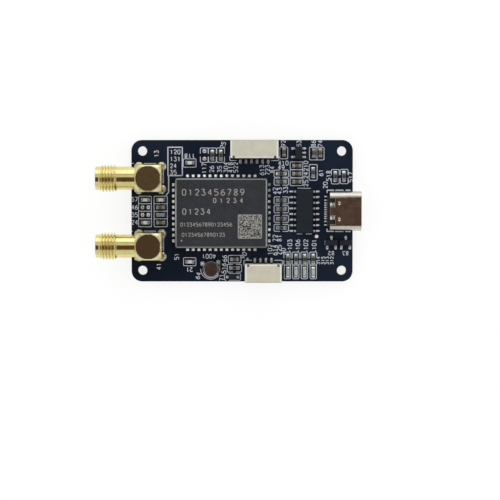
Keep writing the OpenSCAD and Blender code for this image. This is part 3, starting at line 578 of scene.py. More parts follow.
# Fuse and chip resistors: dark glaze on top, white ceramic on the sides
def drawGlaze(desk, place):
    grain = desk.noise(place, 0.1)
    side, top = (desk.blend(grain, *tones[name]) for name in ("glazeSide", "glazeTop"))
    return {
        "Base Color": desk.blend(desk.normal().z.step(0.6, 0.9), side, top),
        "Roughness": grain.spread(0.35, 0.55),
        "Normal": desk.bump(grain, 0.004),
    }


# What draws each finish. Plain ones have their dark and pale tones, their least and greatest
# roughness, the grain and the bump, and some their metal.
drawings = {
    "solder_mask_board": (drawMask,),
    "solder": (drawSolder,),
    "gilt_block": (drawBlock,),
    "gilt_barrel": (drawBarrel,),
    "gilt_cap": (drawCap,),
    "gold_contact": (drawContact,),
    "shield_sheet": (drawShield,),
    "cream_moulding": (drawHousing,),
    "tinned_contact": (drawTinned,),
    "shell_sheet": (drawShell,),
    "brown_ceramic": (drawBrownCeramic,),
    "fuse_glaze": (drawGlaze,),
    "resistor_glaze": (drawGlaze,),
    "white_insulator": (moulded, (0.74, 0.73, 0.69), (0.84, 0.83, 0.8), 0.35, 0.5, 0.12, 0.004),
    "green_carrier": (moulded, (0.008, 0.022, 0.014), (0.02, 0.042, 0.028), 0.25, 0.4, 0.1, 0.004),
    "black_moulding": (moulded, (0.004, 0.009, 0.015), (0.009, 0.016, 0.025), 0.42, 0.62, 0.07, 0.006),
    "black_insulator": (moulded, (0.018, 0.015, 0.013), (0.035, 0.029, 0.025), 0.4, 0.6, 0.08, 0.004),
    "cell_seal": (moulded, (0.036, 0.022, 0.017), (0.06, 0.038, 0.03), 0.5, 0.7, 0.1, 0.004),
    "pale_ceramic": (moulded, (0.62, 0.61, 0.56), (0.76, 0.75, 0.70), 0.35, 0.5, 0.07, 0.003),
    "blue_ceramic": (moulded, (0.14, 0.18, 0.2), (0.26, 0.31, 0.33), 0.35, 0.5, 0.07, 0.003),
    "lamp_base_board": (moulded, (0.6, 0.62, 0.56), (0.76, 0.78, 0.72), 0.4, 0.6, 0.08, 0.003),
    "lamp_resin": (moulded, (0.40, 0.46, 0.41), (0.53, 0.59, 0.53), 0.15, 0.3, 0.12, 0.002),
    "number_ink": (moulded, (0.62, 0.66, 0.72), (0.84, 0.87, 0.91), 0.5, 0.8, 0.07, 0.003),
    "white_paint": (moulded, (0.80, 0.81, 0.82), (0.9, 0.9, 0.9), 0.5, 0.7, 0.1, 0.003),
    "plated_lid": (plated, (0.55, 0.54, 0.5), (0.7, 0.69, 0.66), 0.2, 0.4, 0.1, 0.002),
    "filter_ceramic": (plated, (0.4, 0.37, 0.3), (0.55, 0.52, 0.46), 0.3, 0.5, 0.1, 0.002),
    "cell_sheet": (plated, (0.62, 0.62, 0.60), (0.8, 0.8, 0.78), 0.14, 0.3, 0.1, 0.003, 0.85),
    "cell_lid_sheet": (plated, (0.34, 0.33, 0.34), (0.42, 0.41, 0.42), 0.10, 0.24, 0.2, 0.002),
    "tinned_end": (plated, (0.56, 0.60, 0.62), (0.74, 0.77, 0.77), 0.12, 0.28, 0.08, 0.005, 0.80),
    "board_ink": (speckled, (0.50, 0.54, 0.60), (0.74, 0.77, 0.82), 0.5, 0.8, 0.07, 0.004),
    "laser_mark": (speckled, (0.24, 0.235, 0.21), (0.44, 0.43, 0.385), 0.55, 0.8, 0.06, 0.003),
}
constants = {
    "solder_mask_board": {"IOR": 1.5, "Specular IOR Level": 0.15},
    "black_moulding": {"Specular IOR Level": 0.35},
    "fuse_glaze": {"Specular IOR Level": 0.3},
    "resistor_glaze": {"Specular IOR Level": 0.3},
    "lamp_resin": {"Coat Weight": 0.4},
}


# A principled finish: constants stay on the shader's sockets, looks are wired in
def newFinish(name, draw, *values):
    material = bpy.data.materials.new(name.replace("_", " ") + " finish")
    material.use_nodes = True
    desk = Desk(material.node_tree)
    shader = material.node_tree.nodes["Principled BSDF"]
    looks = draw(desk, desk.place(), *values)
    for key, value in (constants.get(name, {}) | looks).items():
        if isinstance(value, Wire):
            desk.tree.links.new(value.socket, shader.inputs[key])
        else:
            shader.inputs[key].default_value = value
    return material


finishes = {name: newFinish(name, *drawing) for name, drawing in drawings.items()}
for name, node in nodes.items():
    for place in range(len(node.material_slots)):
        node.material_slots[place].material = finishes[slotOf[name]]
print("finishes made:", len(finishes))


# Mesh helpers

# The CAD node's mesh as one welded bmesh
def welded(name):
    shape = bmesh.new()
    shape.from_mesh(nodes[name].data)
    bmesh.ops.remove_doubles(shape, verts=shape.verts, dist=0.0005 * mm)
    return shape


# The lowest and the highest corner of each separate solid of a node
def solidBoxes(name):
    shape = welded(name)
    waiting = set(shape.verts)
    boxes = []
    for seed in shape.verts:
        if seed not in waiting:
            continue
        waiting.remove(seed)
        edge, points = [seed], []
        while edge:
            vert = edge.pop()
            points.append(vert.co[:])
            near = {link.other_vert(vert) for link in vert.link_edges} & waiting
            waiting -= near
            edge += near
        boxes.append([Vector([pick(values) for values in zip(*points)]) for pick in (min, max)])
    shape.free()
    return boxes


def newPiece(name, mesh, finish, replaced=()):
    mesh.name = name
    piece = addObject(name, mesh)
    if not mesh.materials:
        mesh.materials.append(finish)
    for place in range(len(piece.material_slots)):
        piece.material_slots[place].material = finish
    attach(piece, "root")
    if replaced:
        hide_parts(*replaced)


# The plain mesh that one modifier makes of a source mesh, which is used up
def modified(source, kind, settings, inputs=()):
    work = addObject("work", source)
    modifier = work.modifiers.new("work", kind)
    for key, value in settings.items():
        setattr(modifier, key, value)
    for identifier, value in inputs:
        modifier[identifier] = value
    graph = bpy.context.evaluated_depsgraph_get()
    mesh = bpy.data.meshes.new_from_object(work.evaluated_get(graph), depsgraph=graph)
    work.modifiers.remove(modifier)
    bpy.data.objects.remove(work)
    bpy.data.meshes.remove(source)
    return mesh


# A copy of a CAD node that stands for it, its sharp edges rounded where they lie between two heights
def softened(name, radiusMm, segments=2, low=-1, high=1, angle=30, joined=0.6, spared=lambda point: False):
    shape = welded(name)
    bmesh.ops.dissolve_limit(shape, angle_limit=math.radians(joined), verts=shape.verts, edges=shape.edges)
    sharp = [edge for edge in shape.edges if len(edge.link_faces) == 2
             and edge.calc_face_angle() > math.radians(angle)
             and low < (edge.verts[0].co.z + edge.verts[1].co.z) / 2 < high
             and not spared((edge.verts[0].co + edge.verts[1].co) / 2)]
    bmesh.ops.bevel(shape, geom=sharp, offset=radiusMm * mm, offset_type="OFFSET", segments=segments,
                    profile=0.5, affect="EDGES", clamp_overlap=False, loop_slide=False)
    mesh = bpy.data.meshes.new(name)
    shape.to_mesh(mesh)
    shape.free()
    mesh.polygons.foreach_set("use_smooth", [True] * len(mesh.polygons))
    mesh.set_sharp_from_angle(angle=math.radians(rounding["sharpDegrees"]))
    for edge in mesh.edges:
        first, second = (mesh.vertices[number].co for number in edge.vertices)
        if spared((first + second) / 2):
            edge.use_edge_sharp = True
    slot = slotOf[name]
    mesh = modified(mesh, "WEIGHTED_NORMAL", {"keep_sharp": True})
    newPiece(name + ".rounded", mesh, finishes[slot], [name])


# Geometry Nodes: each tree is made once and run on a small source mesh

def newTree(name, inputs):
    tree = bpy.data.node_groups.new(name, "GeometryNodeTree")
    tree.interface.new_socket("Geometry", in_out="INPUT", socket_type="NodeSocketGeometry")
    for label, (kind, value) in inputs.items():
        socket = tree.interface.new_socket(label, in_out="INPUT", socket_type="NodeSocket" + kind)
        if value is not None:
            socket.default_value = value
    tree.interface.new_socket("Geometry", in_out="OUTPUT", socket_type="NodeSocketGeometry")
    desk = Desk(tree)
    group = tree.nodes.new("NodeGroupInput")
    return tree, desk, {socket.name: Wire(desk, socket) for socket in group.outputs if socket.name}


# Closes a tree: real geometry, shaded and given its material
def endTree(desk, geometry, material, smooth=True):
    real = desk.add("GeometryNodeRealizeInstances", {}, {0: geometry})
    shaded = desk.add("GeometryNodeSetShadeSmooth", {}, {"Geometry": real, "Shade Smooth": smooth})
    done = desk.add("GeometryNodeSetMaterial", {}, {"Geometry": shaded, "Material": material})
    desk.add("NodeGroupOutput", {}, {0: done})


def runTree(tree, source, values):
    inputs = [(item.identifier, values[item.name]) for item in tree.interface.items_tree
              if item.item_type == "SOCKET" and item.in_out == "INPUT" and item.name in values]
    return modified(source, "NODES", {"node_group": tree}, inputs)


# Points with named attributes: vectors where the values are tuples, and else numbers
def pointMesh(points, attributes):
    mesh = bpy.data.meshes.new("points")
    mesh.from_pydata(points, [], [])
    for name, values in attributes.items():
        if isinstance(values[0], tuple):
            field = mesh.attributes.new(name, "FLOAT_VECTOR", "POINT")
            field.data.foreach_set("vector", [number for value in values for number in value])
        else:
            field = mesh.attributes.new(name, "FLOAT", "POINT")
            field.data.foreach_set("value", values)
    return mesh


# Solder: each joint of the CAD node becomes a puddle or a fillet of its own

solder = {
    "landRiseMm": 0.13,
    "footRiseMm": 0.24,
    "cellRiseMm": 0.44,
    "footTrimMm": 0.09,
    "longFootMm": 1.1,
    "capacitorReachMm": 0.24,
    "chipReachMm": 0.42,
    "chipRiseMm": 0.40,
    "chipOverhangMm": 0.02,
    "stubReachMm": 0.3,
    "stubRiseMm": 0.46,
    "stubGapMm": 0.02,
    "stubTrimMm": 0.05,
    "nearCarrierMm": 1.2,
    "postRiseMm": 0.55,
    "postRadiusMm": 1.06,
    "postShiftMm": 0.15,
    # Wider joints are at posts, and taller ones are fillets
    "postWidthMm": 2.0,
    "filletHeightMm": 0.35,
    "emptyPlacesMm": ((-21.85, 0.8), (-21.85, -0.9), (-8.5, 12.6)),
    # Place and length of the socket's legs
    "legsMm": ((20.6, 1.1), (23.6, 1.5)),
    "legInsetMm": 0.15,
    "legCollarMm": 0.3,
    "legHalfWidthMm": 0.42,
    "lumps": 0.55,
    "lumpSizeMm": 0.45,
    "seed": 4.0,
}


def makePuddleTree():
    tree, desk, wires = newTree("puddles", {"Lumps": ("Float", 0.5), "Lump Size": ("Float", 0.4 * mm),
                                            "Seed": ("Float", 1.0), "Solder": ("Material", None)})
    slab = desk.add("GeometryNodeMeshCube", {}, {"Size": (2, 2, 2), "Vertices X": 11, "Vertices Y": 9,
                                                 "Vertices Z": 2})
    where = desk.add("GeometryNodeInputPosition")
    slab = desk.add("GeometryNodeStoreNamedAttribute", {"data_type": "FLOAT_VECTOR", "domain": "POINT"},
                    {"Geometry": slab, "Name": "unit", "Value": where})
    points = desk.add("GeometryNodeMeshToPoints", {}, {"Mesh": wires["Geometry"]})
    cast = desk.add("GeometryNodeInstanceOnPoints", {}, {"Points": points, "Instance": slab})
    real = desk.add("GeometryNodeRealizeInstances", {}, {0: cast})
    unit, half, spot = (desk.field(name, "FLOAT_VECTOR") for name in ("unit", "half", "spot"))
    lean, heading, roundness = (desk.field(name) for name in ("lean", "heading", "roundness"))
    u, v = unit.x, unit.y
    u4, v4 = u * u * u * u, v * v * v * v
    across = u * (1 - roundness * v * v * 0.5).root() * half.x
    aside = v * (1 - roundness * u * u * 0.5).root() * half.y
    dome = ((1 - u4) * (1 - v4)).root()
    hollow = ((1 - u) * 0.5) ** 1.7 * (1 - v4).root().root()
    sway = desk.add("ShaderNodeVectorMath", {"operation": "ADD"},
                    {0: desk.vector(across, aside, wires["Seed"]), 1: spot})
    lumpy = desk.noise(sway, wires["Lump Size"], 1.0)
    rise = (dome * (1 - lean) + hollow * lean) * half.z * (1 + wires["Lumps"] * (lumpy - 0.5) * 2)
    upper = unit.z > 0
    height = rise.most(0.0) * upper + rise.least(0.0) * (1 - upper)
    turnCos, turnSin = heading.cosine(), heading.sine()
    place = desk.vector(spot.x + across * turnCos - aside * turnSin,
                        spot.y + across * turnSin + aside * turnCos, spot.z + height)
    moved = desk.add("GeometryNodeSetPosition", {}, {"Geometry": real, "Position": place})
    endTree(desk, moved, wires["Solder"])
    return tree


# The bodies of the chip parts, their metal ends, and the reach of their solder
chipParts = (
    ("brown_capacitors pale_capacitors", "capacitor_ends", "capacitorReachMm"),
    ("feed_inductor", "feed_inductor_ends", "capacitorReachMm"),
    ("fuse", "fuse_ends", "chipReachMm"),
    ("supply_resistors module_resistors usb_resistors lamp_resistors", "resistor_ends", "chipReachMm"),
    ("lamp_bases", "lamp_ends", "chipReachMm"),
)


def makeSolder():
    # The lengths above in metres, under their names without Mm
    size = {key[:-2]: value * mm for key, value in solder.items()
            if key.endswith("Mm") and isinstance(value, float)}
    carrierLow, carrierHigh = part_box("module_carrier")
    cellLow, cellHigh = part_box("backup_cell_tabs")
    joints = []

    def joint(x, y, halfLength, halfWidth, rise, roundness, level=boardTop, lean=0.0, heading=0.0):
        joints.append(((x, y, level), (halfLength, halfWidth, rise), lean, heading, roundness))

    # A fillet against a wall, on one side of a middle along one axis
    def fillet(middle, axis, sign, wall, reach, halfWidth, rise, roundness, lean):
        foot = Vector(middle)
        foot[axis] += sign * (wall + reach)
        heading = math.atan2(sign, 0) if axis else math.atan2(0, sign)
        joint(foot.x, foot.y, reach, halfWidth, rise, roundness, boardTop, lean, heading)

    # Up the metal ends of the chip parts
    for bodies, ends, reach in chipParts:
        middles = [(low + high) / 2 for name in bodies.split() for low, high in solidBoxes(name)]
        for low, high in solidBoxes(ends):
            middle = (low + high) / 2
            nearest = min(middles, key=lambda other: (other - middle).xy.length)
            away = middle - nearest
            axis = 0 if abs(away.x) > abs(away.y) else 1
            wall = max(abs(high[axis] - nearest[axis]), abs(low[axis] - nearest[axis]))
            fillet(nearest, axis, math.copysign(1, away[axis]), wall, solder[reach] * mm / 2,
                   (high - low)[1 - axis] / 2 + size["chipOverhang"], size["chipRise"], 0.5, 0.85)

    # Everything else comes from the solids of the CAD node: under the board, round the jacks'
    # posts, up the module's pads, and flat on the lands
    for low, high in solidBoxes("solder_joints"):
        middle, span = (low + high) / 2, high - low
        if low.z < boardTop - 0.01 * mm:
            joint(middle.x, middle.y, span.x / 2, span.y / 2, low.z, 1.0, 0.0)
        elif span.x > size["postWidth"]:
            joint(middle.x + size["postShift"], middle.y, size["postRadius"], size["postRadius"],
                  size["postRise"], 1.0)
        elif span.z > size["filletHeight"]:
            if nearBox(middle, carrierLow, carrierHigh, size["nearCarrier"]):
                axis = 0 if span.x > span.y else 1
                centre = (carrierLow[axis] + carrierHigh[axis]) / 2
                sign = math.copysign(1, middle[axis] - centre)
                middle[axis] = centre
                fillet(middle, axis, sign, carrierHigh[axis] - centre + size["stubGap"], size["stubReach"],
                       min(span.x, span.y) / 2 - size["stubTrim"], size["stubRise"], 0.1, 0.75)
        else:
            empty = any((middle.xy / mm - Vector(place)).length < 1 for place in solder["emptyPlacesMm"])
            onCell = nearBox(middle, cellLow, cellHigh, 0)
            rise = size["landRise"] if empty else size["cellRise"] if onCell else size["footRise"]
            trim = size["footTrim"] if span.x > size["longFoot"] and not onCell else 0
            joint(middle.x, middle.y, span.x / 2, span.y / 2 - trim, rise, 0.6)

    # The socket's legs, below the board
    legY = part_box("usb_shell")[1].y - size["legInset"]
    for x, length in solder["legsMm"]:
        for side in (-1, 1):
            joint(x * mm, side * legY, length * mm / 2 + size["legCollar"], size["legHalfWidth"],
                  -size["legCollar"], 0.9, 0.0)

    spot, half, lean, heading, roundness = zip(*joints)
    source = pointMesh(spot, {"spot": spot, "half": half, "lean": lean, "heading": heading,
                              "roundness": roundness})
    mesh = runTree(makePuddleTree(), source, {
        "Lumps": solder["lumps"], "Lump Size": size["lumpSize"], "Seed": solder["seed"] * mm,
        "Solder": finishes["solder"]})
    newPiece("solder", mesh, finishes["solder"], ["solder_joints"])


def nearBox(point, low, high, reach):
    return all(low[i] - reach < point[i] < high[i] + reach for i in range(2))


makeSolder()


# Barrels with a true coupling thread, turned from one profile

barrel = {
    "crestMm": 3.08,
    "rootMm": 2.66,
    "neckMm": 2.625,
    "mouthMm": 2.3,
    "boreMm": 2.05,
    "spigotMm": 2.4,
    "mouthDepthMm": 1.9,
    "noseMm": 0.85,
    "leadMm": 0.65,
    "threadEndMm": 4.85,
    "runOutMm": 0.45,
    "pitchMm": 0.7056,
    "spigotLengthMm": 0.9,
    "flanks": (0.34, 0.76),
    "around": 120,
    "perPitch": 24,
    "sharpDegrees": 38,
}


def makeThreadTree():
    tree, desk, wires = newTree("thread", {"Around": ("Int", 96), "Pitch": ("Float", 0.7 * mm),
                                           "Depth": ("Float", 0.4 * mm), "Axis": ("Vector", None),
                                           "Gilt": ("Material", None)})
    profile, around, axis = wires["Geometry"], wires["Around"], wires["Axis"]
    count = desk.add("GeometryNodeAttributeDomainSize", {"component": "MESH"}, {0: profile})
    grid = desk.add("GeometryNodeMeshGrid", {}, {"Vertices X": count, "Vertices Y": around + 1})
    index = desk.add("GeometryNodeInputIndex")
    ring = ((index + 0.5) / (around + 1)).floor()
    turn = (index - ring * (around + 1)) / around
    station = desk.add("GeometryNodeSampleIndex", {"data_type": "FLOAT_VECTOR", "domain": "POINT"},
                       {0: profile, 1: desk.add("GeometryNodeInputPosition"), 2: ring})
    share = desk.add("GeometryNodeSampleIndex", {"data_type": "FLOAT", "domain": "POINT"},
                     {0: profile, 1: desk.field("cut"), 2: ring})
    phase = (station.x / wires["Pitch"] - turn) % 1.0
    tooth = (abs(phase - 0.5) * 2).spread(0, 1, *barrel["flanks"])
    radius = station.y - wires["Depth"] * (1 - tooth) * share
    angle = turn * math.tau
    place = desk.vector(station.x + axis.x, radius * angle.cosine() + axis.y, radius * angle.sine() + axis.z)
    turned = desk.add("GeometryNodeSetPosition", {}, {"Geometry": grid, "Position": place})
    closed = desk.add("GeometryNodeMergeByDistance", {}, {"Geometry": turned, "Distance": 0.0005 * mm})
    endTree(desk, closed, wires["Gilt"])
    return tree


# Stations along a barrel in millimetres: place, radius, and how deep the thread cuts there
def barrelProfile(length):
    b = barrel
    start, end, neck, mouth, depth = (b[key + "Mm"] for key in ("nose", "threadEnd", "neck", "mouth",
                                                                 "mouthDepth"))
    shoulder = length - b["spigotLengthMm"]
    points = [(depth, b["boreMm"], 0), (depth, mouth, 0), (0.12, mouth, 0), (0.03, mouth + 0.03, 0),
              (0, mouth + 0.1, 0), (0, neck - 0.14, 0), (0.04, neck - 0.03, 0), (0.1, neck, 0),
              (0.13, neck, 0), (start - 0.04, neck, 0)]
    steps = round((end - start) / b["pitchMm"] * b["perPitch"])
    for step in range(steps + 1):
        x = start + (end - start) * step / steps
        ease = min(1, (x - start) / b["leadMm"], (end - x) / b["runOutMm"])
        radius = neck + (b["crestMm"] - neck) * ease
        points.append((x, radius, max(0, (radius - b["rootMm"]) / (b["crestMm"] - b["rootMm"]))))
    return points + [(end + 0.04, neck, 0), (shoulder - 0.02, neck, 0), (shoulder, neck, 0),
                     (shoulder, b["spigotMm"], 0), (length, b["spigotMm"], 0), (length, b["boreMm"], 0),
                     (depth, b["boreMm"], 0)]


def makeBarrels():
    tree = makeThreadTree()
    gilt = finishes["gilt_barrel"]
    for name in ("antenna_jack_1_barrel", "antenna_jack_2_barrel"):
        low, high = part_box(name)
        profile = barrelProfile((high.x - low.x) / mm)
        source = pointMesh([(x * mm, radius * mm, 0) for x, radius, _ in profile],
                           {"cut": [cut for *_, cut in profile]})
        mesh = runTree(tree, source, {
            "Around": barrel["around"], "Pitch": barrel["pitchMm"] * mm,
            "Depth": (barrel["crestMm"] - barrel["rootMm"]) * mm,
            "Axis": Vector((low.x, (low.y + high.y) / 2, (low.z + high.z) / 2)), "Gilt": gilt})
        faceOut(mesh)
        mesh.set_sharp_from_angle(angle=math.radians(barrel["sharpDegrees"]))
        newPiece(name + ".threaded", mesh, gilt, [name])
    print("barrels threaded")


def faceOut(mesh):
    shape = bmesh.new()
    shape.from_mesh(mesh)
    bmesh.ops.recalc_face_normals(shape, faces=shape.faces)
    shape.to_mesh(mesh)
    shape.free()


makeBarrels()


# Printed lines: a pen runs along strokes

ink = {
    "thickMm": 0.02,
    "liftMm": 0.0007,
    "boxLineMm": 0.15,
    "heavyLineMm": 0.26,
    "digitLineMm": 0.135,
    "smallLineMm": 0.105,
    "digitHeightMm": 0.92,
    "digitWidth": 0.6,
    "advance": 0.9,
    "cornerMm": 0.24,
    "dotSides": 14,
}

# Plain digits on a field 0.6 wide and 1 high; the first value says if the stroke is closed
digitStrokes = {
    "0": [(True, (0.12, 0), (0.48, 0), (0.6, 0.25), (0.6, 0.75), (0.48, 1), (0.12, 1), (0, 0.75), (0, 0.25))],
    "1": [(False, (0.1, 0.78), (0.32, 1), (0.32, 0))],
    "2": [(False, (0, 0.8), (0.12, 1), (0.48, 1), (0.6, 0.8), (0.6, 0.62), (0, 0), (0.6, 0))],
    "3": [(False, (0, 1), (0.58, 1), (0.25, 0.6), (0.6, 0.45), (0.6, 0.18), (0.45, 0), (0.15, 0), (0, 0.16))],
    "4": [(False, (0.44, 0), (0.44, 0.98)), (False, (0.42, 1), (0, 0.3), (0.6, 0.3))],
    "5": [(False, (0.56, 1), (0.04, 1), (0, 0.58), (0.42, 0.6), (0.6, 0.42), (0.6, 0.18), (0.42, 0), (0, 0))],
    "6": [(False, (0.5, 1), (0.12, 0.75), (0, 0.4), (0, 0.15), (0.15, 0), (0.45, 0)),
          (False, (0.45, 0), (0.6, 0.15), (0.6, 0.4), (0.45, 0.56), (0.04, 0.5))],
    "7": [(False, (0, 1), (0.6, 1), (0.2, 0))],
    "8": [(True, (0.3, 0.54), (0.04, 0.72), (0.12, 1), (0.48, 1), (0.56, 0.72)),
          (True, (0.3, 0.54), (0, 0.3), (0.12, 0), (0.48, 0), (0.6, 0.3))],
    "9": [(False, (0.1, 0), (0.48, 0.25), (0.6, 0.6), (0.6, 0.85), (0.45, 1), (0.15, 1)),
          (False, (0.15, 1), (0, 0.85), (0, 0.6), (0.15, 0.44), (0.56, 0.5))],
}


# Each stroke lies a hair above the one before, so crossing strokes share no face
class Strokes:
    def __init__(self):
        self.points = []
        self.edges = []
        self.count = 0

    def line(self, *points, closed=False):
        start = len(self.points)
        self.count += 1
        self.points += [(x, y, self.count % 9 * ink["liftMm"]) for x, y in points]
        last = len(self.points) - 1
        self.edges += [(i, i + 1) for i in range(start, last)]
        if closed:
            self.edges.append((last, start))

    def frame(self, x0, y0, x1, y1):
        self.line((x0, y0), (x1, y0), (x1, y1), (x0, y1), closed=True)

    # A frame round a place, as long and as wide as given, with its long sides broken in the middle
    def brackets(self, x, y, turned, half=1.62, wide=0.88, gap=0.34):
        for side in (-1, 1):
            corners = [(side * gap, -wide), (side * half, -wide), (side * half, wide), (side * gap, wide)]
            self.line(*[(x - v, y + u) if turned else (x + u, y + v) for u, v in corners])

    def dot(self, x, y, radius):
        angles = [math.tau * i / ink["dotSides"] for i in range(ink["dotSides"])]
        self.line(*[(x + radius * math.cos(a), y + radius * math.sin(a)) for a in angles], closed=True)

    # Digits centred on a place, turned by so many degrees
    def digits(self, text, x, y, turn=90, height=ink["digitHeightMm"], advance=None):
        gap = advance or ink["advance"] * height
        start = -(len(text) - 1) * gap / 2 - ink["digitWidth"] * height / 2
        cosine, sine = math.cos(math.radians(turn)), math.sin(math.radians(turn))
        for place, sign in enumerate(text):
            for closed, *stroke in digitStrokes[sign]:
                moved = [(start + place * gap + u * height, (v - 0.5) * height) for u, v in stroke]
                self.line(*[(x + u * cosine - v * sine, y + u * sine + v * cosine) for u, v in moved],
                          closed=closed)

    # The pen runs along the strokes, and they become a piece that lies on a level
    def write(self, name, level, lineMm, cornerMm, finish, slot):
        thick = ink["thickMm"] * mm
        source = bpy.data.meshes.new("strokes")
        source.from_pydata([(x * mm, y * mm, level + thick / 2 + z * mm) for x, y, z in self.points],
                           self.edges, [])
        mesh = runTree(penTree, source, {"Line Width": lineMm * mm, "Ink Thickness": thick,
                                         "Corner Radius": cornerMm * mm, "Ink": finishes[finish]})
        newPiece(name, mesh, finishes[finish])


def makePenTree():
    tree, desk, wires = newTree("pen", {
        "Line Width": ("Float", 0.2 * mm), "Ink Thickness": ("Float", 0.02 * mm),
        "Corner Radius": ("Float", 0.1 * mm), "Ink": ("Material", None)})
    path = desk.add("GeometryNodeMeshToCurve", {}, {"Mesh": wires["Geometry"]})
    path = desk.add("GeometryNodeFilletCurve", {"mode": "POLY"}, {
        "Curve": path, "Count": 3, "Radius": wires["Corner Radius"], "Limit Radius": True})
    path = desk.add("GeometryNodeSetCurveNormal", {"mode": "Z_UP"}, {"Curve": path})
    nib = desk.add("GeometryNodeCurvePrimitiveQuadrilateral", {"mode": "RECTANGLE"},
                   {"Width": wires["Line Width"], "Height": wires["Ink Thickness"]})
    strip = desk.add("GeometryNodeCurveToMesh", {}, {"Curve": path, "Profile Curve": nib, "Fill Caps": True})
    endTree(desk, strip, wires["Ink"], False)
    return tree


penTree = makePenTree()

# Plain numbers beside the parts: digits, place, and the turn where it isn't a quarter
boardNumbers = [
    ("13", -19.35, 12.9), ("120", -15.1, 13.3, 0), ("131", -15.1, 11.7, 0), ("24", -15.55, 10.15, 0),
    ("35", -15.55, 8.7, 0), ("118", -11.85, 12.4, 180), ("25", -4.3, 14.85, 70), ("117", -8.6, 9.6),
    ("26", -6.85, 9.4), ("35", -5.1, 9.4), ("304", -3.65, 9.8), ("418", -2.6, 9.8), ("522", -1.45, 9.8),
    ("613", 4.45, 9.2), ("723", 5.7, 9.2), ("84", 6.8, 9.3), ("92", 9.3, 15.2), ("53", 12.85, 15.2),
    ("86", 16.1, 15.2), ("74", 17.65, 15.2), ("410", 9.3, 10.8, 0), ("49", 8.85, 9.8, 0), ("210", 14.4, 10.1),
    ("24", 14.4, 8.0), ("25", 14.4, 6.2), ("61", 17.8, 8.6), ("518", 19.5, 7.9), ("517", 24.5, 7.6),
    ("20", 18.8, 5.8), ("33", 9.8, 4.7), ("42", 7.45, 4.5), ("43", 8.45, 4.5), ("72", 7.45, -6.2),
    ("81", 8.4, -6.2), ("614", 7.4, -8.9), ("725", 8.4, -8.9), ("30", 9.35, -9.2), ("102", 6.3, -8.8),
    ("90", 0.35, -10.1, 60), ("103", 10.8, -7.65), ("106", 12.6, -7.65), ("102", 14.4, -7.65),
    ("101", 16.3, -7.65), ("51", -14.8, -10.35), ("41", -18.85, -12.6), ("21", -11.9, -13.3, 180),
    ("4001", -7.5, -10.3, 180), ("64", -9.95, -14.7, 75), ("66", -3.95, -10.8), ("516", -4.1, -13.0),
    ("71", -4.65, -15.1), ("57", -24.3, 2.6, 0), ("46", -24.3, 0.8, 0), ("35", -24.3, -0.9, 0),
    ("24", -24.3, -2.6, 0),
]
# Smaller ones, with their turns and heights
smallNumbers = [
    ("314", 17.25, -11.25, 90, 0.7), ("315", 18.3, -11.25, 90, 0.7), ("313", 19.25, -11.25, 90, 0.7),
    ("312", 20.3, -11.25, 90, 0.7), ("82", 20.15, -9.6, 180, 0.84), ("83", 23.4, -9.6, 180, 0.84),
]


